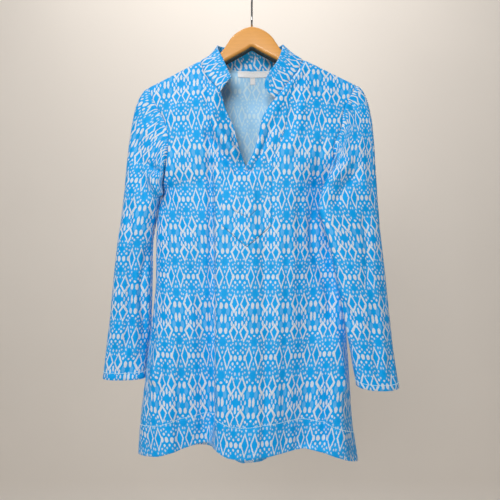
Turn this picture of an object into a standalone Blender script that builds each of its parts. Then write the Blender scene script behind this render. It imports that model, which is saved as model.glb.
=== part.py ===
"""Long sleeve tunic top on its wooden hanger, as cut and sewn pieces.

Every cloth piece is a thin wall around a surface of rows and columns. The rows come from the size tables
below, which are in millimetres: x to the right as seen from the front, y to the back, and "down" measured
downwards from the inside of the hook's bend, which is the origin. The front faces -Y and +Z is up.
"""

import math

import bmesh
import bpy
import numpy as np

MM = 0.001

# Cloth and seams
CLOTH_WALL = 1.5
COLLAR_WALL = 2.0
PLACKET_WALL = 1.0
LABEL_WALL = 1.0
LAYER_GAP = 0.35
PLACKET_GAP = 0.6
SEAM_HALF = 0.25
ARMHOLE_GAP = 0.6
UNDERARM_GAP = 1.2
NECK_GAP = 0.6

# Where the columns of a half panel lie, as shares of the way from its outer edge to its inner edge
COLUMN_STOPS = (0.0, 0.016, 0.045, 0.09, 0.15, 0.22, 0.30, 0.385, 0.47, 0.56, 0.65, 0.74, 0.83, 0.915, 1.0)

# How round a row is from the side to the middle: 2 is an ellipse, more is boxier
ROUNDNESS = 2.15
ROW_SAMPLES = 121

# Upper rows of the front, from the shoulder seam to the underarm. Each side has its armhole edge
# (out) and its neck edge (in). The last two rows meet in the middle, below the neck slit.
# steps, out_x, out_y, out_down, in_x, in_y, in_down
FRONT_LEFT_ROWS = (
    (1, -200.0, -0.25, 211.0, -98.5, -0.25, 158.0),
    (1, -200.0, -3.5, 211.3, -98.5, -3.5, 158.3),
    (1, -198.5, -8.5, 214.0, -98.0, -8.5, 160.5),
    (1, -195.5, -12.0, 220.0, -97.0, -12.0, 165.0),
    (1, -191.0, -14.5, 230.0, -95.0, -15.5, 172.0),
    (1, -183.0, -17.5, 248.0, -88.7, -20.5, 188.0),
    (1, -174.0, -21.0, 263.0, -75.8, -28.0, 205.0),
    (1, -166.0, -25.0, 278.0, -59.0, -36.0, 226.0),
    (1, -160.0, -29.0, 299.0, -57.5, -40.0, 252.0),
    (1, -158.0, -32.0, 315.0, -46.0, -41.0, 272.0),
    (1, -158.0, -34.0, 333.0, -34.0, -42.0, 291.0),
    (1, -160.0, -34.0, 352.0, -27.6, -43.0, 318.0),
    (1, -163.6, -29.0, 376.0, -21.0, -43.0, 342.0),
    (1, -168.0, -16.0, 396.0, -11.0, -43.0, 369.0),
    (1, -170.5, -0.25, 411.0, -11.0, -44.0, 388.0),
)
FRONT_RIGHT_ROWS = (
    (1, 202.0, -0.25, 206.0, 98.5, -0.25, 155.5),
    (1, 202.0, -3.5, 206.3, 98.5, -3.5, 155.8),
    (1, 200.5, -8.5, 209.0, 98.0, -8.5, 158.0),
    (1, 197.5, -12.0, 215.5, 97.0, -12.0, 163.0),
    (1, 192.0, -14.5, 223.0, 93.5, -15.5, 170.5),
    (1, 185.0, -18.0, 234.0, 88.0, -18.5, 181.5),
    (1, 178.0, -21.0, 249.0, 79.0, -23.0, 194.0),
    (1, 172.5, -25.0, 266.0, 64.0, -29.0, 213.0),
    (1, 170.0, -29.0, 287.0, 45.8, -34.0, 237.0),
    (1, 164.0, -33.0, 303.0, 29.5, -39.0, 257.5),
    (1, 156.0, -35.0, 320.0, 19.0, -41.0, 279.0),
    (1, 153.0, -34.0, 342.0, 12.0, -43.0, 311.0),
    (1, 156.0, -26.0, 368.0, 1.0, -43.0, 346.0),
    (1, 162.0, -14.0, 392.0, -11.0, -43.0, 369.0),
    (1, 168.0, -0.25, 411.0, -11.0, -44.0, 388.0),
)
SLIT_ROW = 13
LEFT_COLLAR_END = 7
RIGHT_COLLAR_END = 8

# Upper rows of the back, whose neck edge is mirrored to the right.
# steps, left_x, left_down, right_x, right_down, out_y, in_x, in_y, left_in_down, right_in_down
BACK_ROWS = (
    (1, -200.0, 211.0, 202.0, 206.0, 0.25, -98.5, 0.25, 158.0, 155.5),
    (1, -200.0, 211.3, 202.0, 206.3, 3.5, -98.5, 3.5, 158.2, 155.7),
    (1, -198.5, 214.0, 200.5, 209.0, 8.5, -98.0, 8.5, 159.0, 156.8),
    (1, -195.5, 220.0, 197.5, 215.5, 12.0, -96.5, 12.5, 159.6, 157.8),
    (1, -191.0, 230.0, 192.5, 226.0, 14.5, -93.0, 17.5, 160.2, 158.8),
    (1, -185.0, 245.0, 185.5, 242.0, 18.0, -85.0, 25.0, 160.2, 159.4),
    (1, -178.0, 262.0, 178.0, 260.0, 22.5, -72.0, 33.5, 159.8, 159.4),
    (1, -173.0, 280.0, 172.5, 279.0, 26.5, -54.0, 40.0, 159.8, 159.6),
    (1, -170.0, 298.0, 169.0, 298.0, 29.5, -29.0, 44.5, 161.2, 161.2),
    (1, -168.5, 316.0, 167.0, 316.0, 31.5, 0.0, 46.5, 162.0, 162.0),
    (1, -168.0, 338.0, 166.0, 338.0, 32.5, 0.0, 48.0, 190.0, 190.0),
    (1, -168.5, 358.0, 165.5, 358.0, 31.5, 0.0, 49.0, 224.0, 224.0),
    (1, -169.5, 380.0, 166.0, 380.0, 26.0, 0.0, 49.0, 264.0, 264.0),
    (1, -170.5, 398.0, 167.0, 398.0, 14.5, -1.0, 48.0, 308.0, 308.0),
    (1, -170.5, 411.0, 168.0, 411.0, 0.25, -2.0, 46.5, 352.0, 352.0),
)
NECK_CENTRE_ROW = 9

# Lower rows, from the underarm to the hem: the two side seams and the middle of the front and the back.
# steps, left_x, left_down, right_x, right_down, front_x, front_y, front_down, back_x, back_y, back_down
LOWER_ROWS = (
    (3, -175.6, 440.0, 170.5, 440.0, -10.5, -46.5, 425.0, -3.0, 45.0, 402.0),
    (4, -178.5, 502.0, 171.0, 502.0, -10.0, -48.5, 490.0, -4.0, 42.0, 482.0),
    (3, -182.0, 579.0, 174.0, 579.0, -9.0, -50.5, 568.0, -5.0, 39.0, 570.0),
    (3, -189.5, 640.0, 178.5, 640.0, -8.0, -52.5, 630.0, -5.0, 38.0, 640.0),
    (4, -197.0, 700.0, 183.0, 706.0, -7.0, -55.0, 692.0, -5.0, 38.0, 706.0),
    (4, -205.0, 772.0, 187.7, 775.0, -6.5, -57.0, 764.0, -5.0, 40.0, 780.0),
    (4, -213.5, 845.0, 192.4, 850.0, -6.0, -60.0, 832.0, -5.0, 43.0, 855.0),
    (0, -217.7, 911.0, 203.8, 925.0, -5.0, -62.0, 899.0, -5.0, 46.0, 939.0),
)

# The hem's lower edge: x, down
FRONT_HEM = (
    (-217.7, 911.0),
    (-175.0, 903.0),
    (-130.0, 891.0),
    (-88.0, 883.0),
    (-70.0, 887.0),
    (-45.0, 896.0),
    (-10.0, 898.0),
    (30.0, 894.5),
    (96.0, 889.5),
    (135.0, 896.0),
    (165.0, 905.5),
    (188.0, 917.5),
    (203.8, 925.0),
)
BACK_HEM = (
    (-217.7, 911.0),
    (-150.0, 910.0),
    (-110.0, 911.0),
    (-86.0, 916.0),
    (-60.0, 928.0),
    (-20.0, 941.0),
    (20.0, 940.0),
    (60.0, 926.0),
    (110.0, 911.0),
    (160.0, 913.0),
    (203.8, 925.0),
)
HEM_START = 470.0

# Folds: soft troughs (depth above 0 goes into the body) and ridges (below 0), each along its own line.
# top_x, top_down, low_x, low_down, top_left, top_right, low_left, low_right, top_depth, low_depth
# The four widths are how far the fold reaches to the left and right at its top and its foot.
FRONT_FOLDS = (
    (-77.0, 240.0, -87.0, 905.0, 22.0, 12.0, 48.0, 17.0, 2.5, 36.0),
    (-22.0, 500.0, -17.0, 905.0, 30.0, 30.0, 36.0, 60.0, -2.0, -15.0),
    (22.0, 430.0, 34.0, 780.0, 16.0, 16.0, 20.0, 20.0, 4.0, 3.0),
    (117.0, 400.0, 97.0, 905.0, 22.0, 24.0, 46.0, 34.0, 9.0, 24.0),
    (146.0, 400.0, 146.0, 660.0, 24.0, 26.0, 22.0, 22.0, 10.0, 6.0),
    (158.0, 680.0, 167.0, 905.0, 18.0, 18.0, 24.0, 22.0, -2.0, -14.0),
    (-160.0, 600.0, -172.0, 905.0, 26.0, 26.0, 26.0, 26.0, -1.0, -7.0),
)
BACK_FOLDS = (
    (-118.0, 330.0, -140.0, 930.0, 18.0, 18.0, 30.0, 26.0, 3.0, 20.0),
    (-64.0, 420.0, -82.0, 930.0, 24.0, 24.0, 34.0, 30.0, -2.0, -10.0),
    (-8.0, 560.0, -12.0, 930.0, 30.0, 26.0, 44.0, 46.0, 3.0, 32.0),
    (58.0, 400.0, 78.0, 930.0, 22.0, 24.0, 34.0, 34.0, -2.0, -12.0),
    (112.0, 300.0, 136.0, 930.0, 16.0, 20.0, 30.0, 28.0, 4.0, 18.0),
)
FOLD_FADE = 26.0
FOLD_ENDS = 45.0
FOLD_GROWTH = 1.6
FOLDS_FROM = 250.0

# Sleeve sections below the underarm. Each is a flattened ring round its middle, turned about the upright.
# Slant lowers its right end and dip its front.
# steps, down, x, y, half_wide, half_deep, turn, slant, dip
LEFT_SLEEVE = (
    (3, 446.0, -214.3, -2.0, 33.6, 25.0, 0.0, 4.0, 0.0),
    (2, 500.0, -222.5, 1.0, 32.4, 27.0, 0.0, 4.0, 0.0),
    (3, 579.0, -229.0, 4.0, 36.4, 24.0, 0.0, 3.0, 0.0),
    (3, 656.0, -235.0, 6.0, 39.2, 22.0, 0.0, 2.0, 0.0),
    (2, 722.0, -242.5, 8.0, 40.4, 21.0, 0.0, 1.0, 0.0),
    (0, 769.0, -247.6, 8.0, 41.2, 20.0, 0.0, -1.0, 1.0),
)
RIGHT_SLEEVE = (
    (3, 446.0, 181.5, -36.0, 58.5, 14.0, 16.0, -10.0, 0.0),
    (2, 500.0, 192.0, -37.0, 52.5, 16.0, 17.0, -8.0, 0.0),
    (3, 566.0, 202.5, -36.0, 49.0, 18.0, 17.0, -5.0, 1.0),
    (3, 636.0, 213.5, -33.0, 44.5, 20.0, 16.0, -2.0, 2.0),
    (2, 716.0, 226.0, -29.0, 41.5, 21.5, 13.0, 0.0, 3.0),
    (0, 776.0, 236.5, -27.0, 41.5, 22.0, 12.0, 2.0, 5.0),
)
SLEEVE_TWIST = {"left": -12.0, "right": -80.0}
EVEN_SHARE = 0.6
CAP_STEPS = 8
CAP_START = 0.5
CAP_END = 0.95
UNDERARM_DROP = 0.1

# The collar's upper edge, from its left end round the back to its right end: share of the seam, x, y, down
COLLAR_TOP = (
    (0.0, -38.7, -32.0, 197.8),
    (0.08, -47.9, -27.0, 176.7),
    (0.16, -57.6, -20.5, 155.0),
    (0.225, -64.8, -12.5, 138.4),
    (0.275, -67.0, 3.0, 126.2),
    (0.345, -61.0, 24.0, 121.0),
    (0.42, -36.0, 40.0, 118.5),
    (0.5, -2.0, 45.0, 118.0),
    (0.58, 32.0, 40.0, 118.5),
    (0.65, 54.5, 24.0, 121.0),
    (0.715, 60.4, 3.0, 124.3),
    (0.765, 57.5, -13.5, 140.6),
    (0.83, 52.0, -18.0, 156.8),
    (0.90, 42.6, -23.0, 173.5),
    (0.95, 34.2, -26.0, 185.2),
    (1.0, 27.5, -28.0, 198.1),
)
COLLAR_ROWS = 5
COLLAR_BOW = 1.0
COLLAR_MIDDLE = (0.0, 5.0)

# Placket pieces, which lie on the front below the slit: their sides, top, where the point starts, the
# point and where it is across
PLACKET_OUTER = {"left": -55.0, "right": 36.0, "top": 373.0, "side": 476.0, "point": 515.0, "middle": -9.5}
PLACKET_TONGUE = {"left": -36.5, "right": 8.0, "top": 398.0, "side": 446.0, "point": 461.0, "middle": -6.0}
PLACKET_CELLS = (8, 9)

# Labels on the inside of the back, below the neck seam: left, right, start and end below the seam
NECK_LABEL = (-28.0, 35.0, 1.2, 13.0)
SIZE_TAB = (-3.0, 7.0, 13.5, 27.0)

# Wooden bar: x, top, bottom, mirrored to the left
BAR_OUTLINE = (
    (0.0, 92.0, 131.7),
    (11.0, 94.0, 137.6),
    (22.0, 98.8, 143.6),
    (32.0, 105.6, 149.0),
    (40.0, 113.5, 153.3),
    (48.4, 126.3, 157.8),
    (57.0, 138.0, 162.5),
    (66.0, 145.8, 167.3),
    (80.0, 152.6, 174.9),
    (98.0, 158.6, 184.6),
    (125.0, 172.0, 199.2),
    (150.0, 184.7, 212.7),
    (172.0, 196.2, 224.0),
    (187.0, 205.0, 230.5),
    (196.0, 213.2, 232.5),
    (201.0, 221.5, 229.5),
)
BAR_TILT = 0.0133
BAR_THICK = 19.0
BAR_ROUND = 8.0
STRIP_HIGH = 3.0
STRIP_WIDE = 15.0
STRIP_REACH = 175.0

# Hook: a wire that rises from the bar and bends over the origin
WIRE = 3.8
STEM_TOP = 44.0
BEND_RADIUS = 18.5
BEND_PULL = 0.62
TIP_ANGLE = 205.0
WIRE_SIDES = 10


def unit(vectors):
    """The vectors at a length of one."""
    return vectors / np.maximum(np.linalg.norm(vectors, axis=-1, keepdims=True), 1e-12)


def slopes(values):
    """Slope at each row for a curve that passes through the rows and never overshoots them."""
    steps = np.diff(values, axis=0)
    before, after = steps[:-1], steps[1:]
    total = before + after
    turning = before * after <= 0
    safe = np.where(turning, 1.0, total)
    middle = np.where(turning, 0.0, 2.0 * before * after / safe)
    return np.concatenate([steps[:1], middle, steps[-1:]])


def through(values, places):
    """The rows' smooth curve at the given places, where a whole number is a row."""
    values = np.asarray(values, float)
    slope = slopes(values)
    row = np.minimum(np.asarray(places, float).astype(int), len(values) - 2)
    part = (np.asarray(places, float) - row)[:, None]
    square, cube = part**2, part**3
    start = (2 * cube - 3 * square + 1) * values[row] + (cube - 2 * square + part) * slope[row]
    end = (3 * square - 2 * cube) * values[row + 1] + (cube - square) * slope[row + 1]
    return start + end


def places_of(steps):
    """Row places for a table whose first column says how many steps each row has to the next."""
    places = []
    for row, count in enumerate(steps):
        places += [row + part / count for part in range(count)]
    return places + [len(steps) - 1]


def along(table, x):
    """A two-column table read smoothly at x."""
    table = np.asarray(table, float)
    return np.interp(x, table[:, 0], table[:, 1])


def fold_depth(folds, x, down):
    """How far the folds move a point to the back of a front, or to the front of a back."""
    total = 0.0
    for top_x, top_down, low_x, low_down, t_left, t_right, l_left, l_right, top_deep, low_deep in folds:
        part = (down - top_down) / (low_down - top_down)
        share = min(max(part, 0.0), 1.0)
        middle = top_x + (low_x - top_x) * share
        left = t_left + (l_left - t_left) * share
        right = t_right + (l_right - t_right) * share
        deep = top_deep + (low_deep - top_deep) * share**FOLD_GROWTH
        reach = left if x < middle else right
        start = min(max(1.0 + (down - top_down) / FOLD_ENDS, 0.0), 1.0)
        end = min(max(1.0 - (down - low_down) / FOLD_ENDS, 0.0), 1.0)
        total += deep * start * end * math.exp(-(((x - middle) / reach) ** 2))
    return total


def half_row(outer, inner, folds, into, top_rows):
    """Points of one row from its outer to its inner edge, bowed like a flattened ring, with its folds."""
    share = np.linspace(0.0, 1.0, ROW_SAMPLES) ** 1.5
    bow = (1.0 - (1.0 - share) ** ROUNDNESS) ** (1.0 / ROUNDNESS)
    x = outer[0] + (inner[0] - outer[0]) * share
    y = outer[1] + (inner[1] - outer[1]) * bow
    down = outer[2] + (inner[2] - outer[2]) * share
    if not top_rows:
        for i in range(len(x)):
            fade = min(abs(x[i] - outer[0]) / FOLD_FADE, 1.0)
            y[i] += into * fold_depth(folds, x[i], down[i]) * fade * fade * (3.0 - 2.0 * fade)
    length = np.concatenate([[0.0], np.cumsum(np.hypot(np.hypot(np.diff(x), np.diff(y)), np.diff(down)))])
    stops = np.array(COLUMN_STOPS) * length[-1]
    return np.stack([np.interp(stops, length, v) for v in (x, y, down)], axis=1)


def half_panel(upper, lower, folds, into, hem):
    """One half of a panel as rows of points, with its hem's edge drawn to the table."""
    table = np.concatenate([upper, lower])
    places = places_of(table[:, 0].astype(int))
    rows = through(table[:, 1:], places)
    hem_line = rows[-1]
    grid = []
    for row in rows:
        outer, inner = row[:3], row[3:]
        line = half_row(outer, inner, folds, into, outer[2] < FOLDS_FROM)
        low = np.clip((line[:, 2] - HEM_START) / (hem_line[2] - HEM_START), 0.0, 1.0) ** 2
        span = hem_line[3] - hem_line[0]
        part = (line[:, 0] - hem_line[0]) / span
        plain = hem_line[2] + (hem_line[5] - hem_line[2]) * np.clip(part, 0.0, 1.0)
        line[:, 2] += low * (along(hem, line[:, 0]) - plain)
        grid.append(line)
    return np.array(grid)


def front_halves():
    """The two halves of the front."""
    low = np.array(LOWER_ROWS)
    side = np.full((len(low), 1), -SEAM_HALF)
    left = np.hstack([low[:, :2], side, low[:, 2:3], low[:, 5:8]])
    right = np.hstack([low[:, :1], low[:, 3:4], side, low[:, 4:5], low[:, 5:8]])
    return (
        half_panel(np.array(FRONT_LEFT_ROWS), left, FRONT_FOLDS, 1.0, FRONT_HEM),
        half_panel(np.array(FRONT_RIGHT_ROWS), right, FRONT_FOLDS, 1.0, FRONT_HEM),
    )


def back_halves():
    """The two halves of the back."""
    rows, low = np.array(BACK_ROWS), np.array(LOWER_ROWS)
    side = np.full((len(low), 1), SEAM_HALF)
    left = np.hstack([low[:, :2], side, low[:, 2:3], low[:, 8:11]])
    right = np.hstack([low[:, :1], low[:, 3:4], side, low[:, 4:5], low[:, 8:11]])
    upper_left = rows[:, [0, 1, 5, 2, 6, 7, 8]]
    upper_right = rows[:, [0, 3, 5, 4, 6, 7, 9]].copy()
    before = upper_right[:, 4] < -5.0
    upper_right[before, 4] *= -1.0
    return (
        half_panel(upper_left, left, BACK_FOLDS, -1.0, BACK_HEM),
        half_panel(upper_right, right, BACK_FOLDS, -1.0, BACK_HEM),
    )


def joined(left, right, first_shared):
    """Points and faces of two halves that share their inner column from one row down."""
    rows, columns = left.shape[:2]
    points = list(left.reshape(-1, 3))
    index = np.zeros((rows, columns), int)
    for i in range(rows):
        for j in range(columns):
            if j == columns - 1 and i >= first_shared:
                index[i, j] = i * columns + j
            else:
                index[i, j] = len(points)
                points.append(right[i, j])
    faces = []
    for i in range(rows - 1):
        for j in range(columns - 1):
            a = i * columns + j
            faces.append((a, a + columns, a + columns + 1, a + 1))
            faces.append((index[i, j], index[i, j + 1], index[i + 1, j + 1], index[i + 1, j]))
    return np.array(points), faces


def armhole(front, back):
    """The armhole's edge from the underarm up the front and down the back, with the way on and the way out."""
    edge_front = front[: len(FRONT_LEFT_ROWS), 0]
    edge_back = back[: len(BACK_ROWS), 0]
    loop = np.concatenate([edge_front[::-1], edge_back[1:]])
    next_in = np.concatenate([front[: len(FRONT_LEFT_ROWS), 1][::-1], back[1 : len(BACK_ROWS), 1]])
    length = np.concatenate([[0.0], np.cumsum(np.linalg.norm(np.diff(loop, axis=0), axis=1))])
    half = length[len(edge_front) - 1]
    ahead = unit(np.gradient(loop, axis=0))
    onward = unit(loop - next_in)
    outward = unit(np.cross(ahead, onward))
    away = loop * np.array([1.0, 2.0, 0.0])
    outward *= np.sign((outward * away).sum(axis=1, keepdims=True))
    square = unit(np.cross(outward, ahead))
    square *= np.sign((square * onward).sum(axis=1, keepdims=True))
    for vectors in (square, outward):
        vectors[1:-1] = unit(vectors[:-2] + 2.0 * vectors[1:-1] + vectors[2:])
    return loop, length, half, square, outward


def ring_point(section, angle):
    """A point of a sleeve section, which is a flattened ring."""
    down, x, y, wide, deep, turn, slant, dip = section
    cosine, sine = math.cos(angle), math.sin(angle)
    across = wide * math.copysign(abs(cosine) ** 0.9, cosine)
    depth = deep * math.copysign(abs(sine) ** 0.9, sine)
    turned = math.radians(turn)
    return np.array(
        [
            x + across * math.cos(turned) - depth * math.sin(turned),
            y + across * math.sin(turned) + depth * math.cos(turned),
            down + slant * across / wide - dip * depth / deep,
        ]
    )


def sleeve_grid(side, table, front, back):
    """Rows of points round a sleeve, from the armhole to the cuff."""
    loop, length, half, onward, outward = armhole(front, back)
    sections = np.array(table)
    places = places_of(sections[:, 0].astype(int))
    rings = through(sections[:, 1:], places)
    sign = -1.0 if side == "left" else 1.0
    around = len(loop) - 1
    grid = []
    starts, leaves, angles = [], [], []
    for k in range(around):
        at = length[k]
        run = 0.5 * at / half if at <= half else 0.5 + 0.5 * (at - half) / (length[-1] - half)
        share = EVEN_SHARE * k / around + (1.0 - EVEN_SHARE) * run
        place, on, out = loop[k], onward[k], outward[k]
        turn = 2.0 * math.pi * run
        under = min(max((math.cos(turn) - 0.1) / 0.7, 0.0), 1.0)
        if k == 0:
            place = (loop[0] + loop[-1]) / 2.0
            on, out = np.array([0.0, 0.0, -1.0]), np.array([sign, 0.0, 0.0])
        starts.append(place + unit(on) * (ARMHOLE_GAP + UNDERARM_GAP * under))
        leave = unit(on) * (1.0 - under) + unit(out) * under + np.array([0.0, 0.0, UNDERARM_DROP * under])
        leaves.append(unit(leave))
        base = 360.0 - 360.0 * share if side == "left" else 180.0 + 360.0 * share
        lean = SLEEVE_TWIST[side] * (1.0 + math.cos(2.0 * math.pi * share)) / 2.0
        angles.append(math.radians(base - sign * lean if side == "left" else base + lean))
    for i in range(CAP_STEPS):
        part = i / CAP_STEPS
        square, cube = part**2, part**3
        row = []
        for k in range(around):
            start, leave = starts[k], leaves[k]
            end = ring_point(rings[0], angles[k])
            below = ring_point(rings[1], angles[k])
            arrive = (below - end) / np.linalg.norm(below - end)
            reach = np.linalg.norm(end - start)
            point = (
                (2 * cube - 3 * square + 1) * start
                + (cube - 2 * square + part) * leave * reach * CAP_START
                + (3 * square - 2 * cube) * end
                + (cube - square) * arrive * reach * CAP_END
            )
            row.append(point)
        grid.append(row)
    for ring in rings:
        grid.append([ring_point(ring, angle) for angle in angles])
    return np.array(grid)


def tube(grid):
    """Points and faces of rows that close on themselves."""
    rows, columns = grid.shape[:2]
    faces = []
    for i in range(rows - 1):
        for j in range(columns):
            k = (j + 1) % columns
            faces.append((i * columns + j, i * columns + k, (i + 1) * columns + k, (i + 1) * columns + j))
    return grid.reshape(-1, 3), faces


def sheet(grid):
    """Points and faces of rows that don't close."""
    rows, columns = grid.shape[:2]
    faces = []
    for i in range(rows - 1):
        for j in range(columns - 1):
            a = i * columns + j
            faces.append((a, a + 1, a + columns + 1, a + columns))
    return grid.reshape(-1, 3), faces


def point_normals(points, faces):
    """The surface's direction at each point."""
    quads = np.array(faces)
    a, b, c, d = (points[quads[:, k]] for k in range(4))
    across = np.cross(c - a, d - b)
    normals = np.zeros_like(points)
    for k in range(4):
        np.add.at(normals, quads[:, k], across)
    return unit(normals)


def wall(points, faces, thick):
    """A closed wall of one thickness round a surface: both faces and the rim."""
    normals = point_normals(points, faces)
    count = len(points)
    both = np.concatenate([points + normals * thick / 2.0, points - normals * thick / 2.0])
    uses = {}
    for face in faces:
        for k in range(4):
            a, b = face[k], face[(k + 1) % 4]
            uses.setdefault((min(a, b), max(a, b)), []).append((a, b))
    out = [tuple(face) for face in faces]
    out += [tuple(v + count for v in reversed(face)) for face in faces]
    for pairs in uses.values():
        if len(pairs) == 1:
            a, b = pairs[0]
            out.append((b, a, a + count, b + count))
    return both, out


def collar_grid(left, right, back_left, back_right):
    """Rows of points of the collar band, from the neck seam to its upper edge."""
    seam = [left[i, -1] for i in range(LEFT_COLLAR_END, -1, -1)]
    seam += [back_left[i, -1] for i in range(1, NECK_CENTRE_ROW + 1)]
    seam += [back_right[i, -1] for i in range(NECK_CENTRE_ROW - 1, 0, -1)]
    seam += [right[i, -1] for i in range(RIGHT_COLLAR_END + 1)]
    seam = np.array(seam)
    length = np.concatenate([[0.0], np.cumsum(np.linalg.norm(np.diff(seam, axis=0), axis=1))])
    share = length / length[-1]
    top = np.array(COLLAR_TOP)
    places = np.interp(share, top[:, 0], np.arange(len(top)))
    edge = through(top[:, 1:], places)
    grid = []
    for k in range(COLLAR_ROWS + 1):
        part = k / COLLAR_ROWS
        rise = unit(edge - seam)
        line = (seam + rise * NECK_GAP) * (1.0 - part) + edge * part
        out = line.copy()
        out[:, :2] -= COLLAR_MIDDLE
        out[:, 2] = 0.0
        out = unit(out)
        grid.append(line + out * COLLAR_BOW * math.sin(math.pi * part))
    return np.array(grid)


def on_surface(points, faces, x, down, off):
    """The place on a panel at x and down, moved off it by a distance."""
    flat = points[:, [0, 2]]
    normals = point_normals(points, faces)
    best, found = None, None
    for face in faces:
        corner = flat[list(face)]
        if x < corner[:, 0].min() or x > corner[:, 0].max():
            continue
        if down < corner[:, 1].min() or down > corner[:, 1].max():
            continue
        for three in ((0, 1, 2), (0, 2, 3)):
            a, b, c = (corner[k] for k in three)
            area = (b[0] - a[0]) * (c[1] - a[1]) - (c[0] - a[0]) * (b[1] - a[1])
            if abs(area) < 1e-9:
                continue
            u = ((x - a[0]) * (c[1] - a[1]) - (c[0] - a[0]) * (down - a[1])) / area
            v = ((b[0] - a[0]) * (down - a[1]) - (x - a[0]) * (b[1] - a[1])) / area
            if u < -1e-6 or v < -1e-6 or u + v > 1 + 1e-6:
                continue
            ids = [face[k] for k in three]
            weight = np.array([1 - u - v, u, v])
            place = weight @ points[ids]
            normal = weight @ normals[ids]
            normal /= np.linalg.norm(normal)
            if best is None or abs(place[1]) > abs(best[1]):
                best, found = place, normal
    if best is None:
        raise ValueError("no panel at x %.1f and %.1f down" % (x, down))
    towards = -1.0 if off < 0 else 1.0
    if found[1] * towards < 0:
        found = -found
    return best + found * abs(off)


def pointed_grid(piece, points, faces, off):
    """Rows of points of a pointed placket piece on the front."""
    across, along_it = PLACKET_CELLS
    grid = []
    for i in range(along_it + 1):
        row = []
        for j in range(across + 1):
            part = j / across
            x = piece["left"] + (piece["right"] - piece["left"]) * part
            if x < piece["middle"]:
                reach = (x - piece["left"]) / (piece["middle"] - piece["left"])
            else:
                reach = (piece["right"] - x) / (piece["right"] - piece["middle"])
            low = piece["side"] + (piece["point"] - piece["side"]) * reach
            down = piece["top"] + (low - piece["top"]) * i / along_it
            row.append(on_surface(points, faces, x, down, off))
        grid.append(row)
    return np.array(grid)


def label_grid(piece, points, faces, seam, off):
    """Rows of points of a label that follows the neck seam on the inside of the back."""
    left, right, start, end = piece
    across = max(int((right - left) / 8.0), 2)
    grid = []
    for i in range(3):
        row = []
        for x in np.linspace(left, right, across + 1):
            top = np.interp(x, seam[:, 0], seam[:, 2])
            row.append(on_surface(points, faces, x, top + start + (end - start) * i / 2.0, off))
        grid.append(row)
    return np.array(grid)


def bar_section(x, top, bottom, thick, round_by):
    """A rounded upright section of the bar, as y and down."""
    half = thick / 2.0
    bend = min(round_by, half, (bottom - top) / 2.0 - 0.1)
    corners = (
        (half - bend, top + bend, 0.0),
        (half - bend, bottom - bend, 90.0),
        (bend - half, bottom - bend, 180.0),
        (bend - half, top + bend, 270.0),
    )
    ring = []
    for y, down, start in corners:
        for k in range(3):
            angle = math.radians(start + 45.0 * k)
            ring.append((x, y + bend * math.sin(angle), down - bend * math.cos(angle)))
    return ring


def loft(rings):
    """A closed solid through rings of points, with flat ends."""
    points = [p for ring in rings for p in ring]
    count = len(rings[0])
    faces = []
    for i in range(len(rings) - 1):
        for j in range(count):
            k = (j + 1) % count
            faces.append((i * count + j, i * count + k, (i + 1) * count + k, (i + 1) * count + j))
    faces.append(tuple(range(count)))
    last = (len(rings) - 1) * count
    faces.append(tuple(last + j for j in reversed(range(count))))
    return np.array(points), faces


def bar_rows():
    """The bar's outline from its left tip to its right tip, hanging a little lower on the left."""
    rows = [(-x, top, bottom) for x, top, bottom in BAR_OUTLINE[:0:-1]] + list(BAR_OUTLINE)
    return [(x, top - x * BAR_TILT, bottom - x * BAR_TILT) for x, top, bottom in rows]


def bar_rings():
    """Rings of the wooden bar from its left tip to its right tip."""
    rings = []
    for x, top, bottom in bar_rows():
        rings.append(bar_section(x, top, bottom, BAR_THICK, BAR_ROUND))
    return rings


def strip_rings():
    """Rings of the dark strip along the underside of the bar."""
    rings = []
    for x, _, bottom in bar_rows():
        if abs(x) > STRIP_REACH:
            continue
        top = bottom + LAYER_GAP
        half = STRIP_WIDE / 2.0
        low = top + STRIP_HIGH
        rings.append([(x, half, top), (x, half, low), (x, -half, low), (x, -half, top)])
    return rings


def hook_line():
    """The hook's middle line: up the stem, out and over the bend to its tip."""
    low = BAR_OUTLINE[0][1] - 0.3
    centre = BEND_RADIUS - WIRE / 2.0
    line = [(0.0, low), (0.0, (low + STEM_TOP) / 2.0), (0.0, STEM_TOP)]
    start, side = np.array([0.0, STEM_TOP]), np.array([BEND_RADIUS, centre])
    pull = np.array([0.0, -BEND_PULL * (STEM_TOP - centre)])
    for k in range(1, 9):
        part = k / 8.0
        line.append(
            tuple(
                (1 - part) ** 3 * start
                + 3 * (1 - part) ** 2 * part * (start + pull)
                + 3 * (1 - part) * part**2 * (side - pull)
                + part**3 * side
            )
        )
    steps = 16
    for k in range(1, steps + 1):
        angle = math.radians(TIP_ANGLE * k / steps)
        line.append((BEND_RADIUS * math.cos(angle), centre - BEND_RADIUS * math.sin(angle)))
    return np.array(line)


def hook_rings():
    """Rings of the hook's wire, with a rounded tip."""
    line = hook_line()
    ahead = unit(np.gradient(line, axis=0))
    rings = [wire_ring(x, down, go_x, go_down, WIRE / 2.0) for (x, down), (go_x, go_down) in zip(line, ahead)]
    x, down = line[-1]
    go_x, go_down = ahead[-1]
    for push, share in ((0.35, 0.85), (0.6, 0.5)):
        reach = push * WIRE
        rings.append(wire_ring(x + go_x * reach, down + go_down * reach, go_x, go_down, share * WIRE / 2.0))
    return rings


def wire_ring(x, down, go_x, go_down, radius):
    """A ring of the wire square to its direction."""
    ring = []
    for k in range(WIRE_SIDES):
        angle = 2.0 * math.pi * k / WIRE_SIDES
        side, depth = radius * math.cos(angle), radius * math.sin(angle)
        ring.append((x - go_down * side, depth, down + go_x * side))
    return ring


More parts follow.
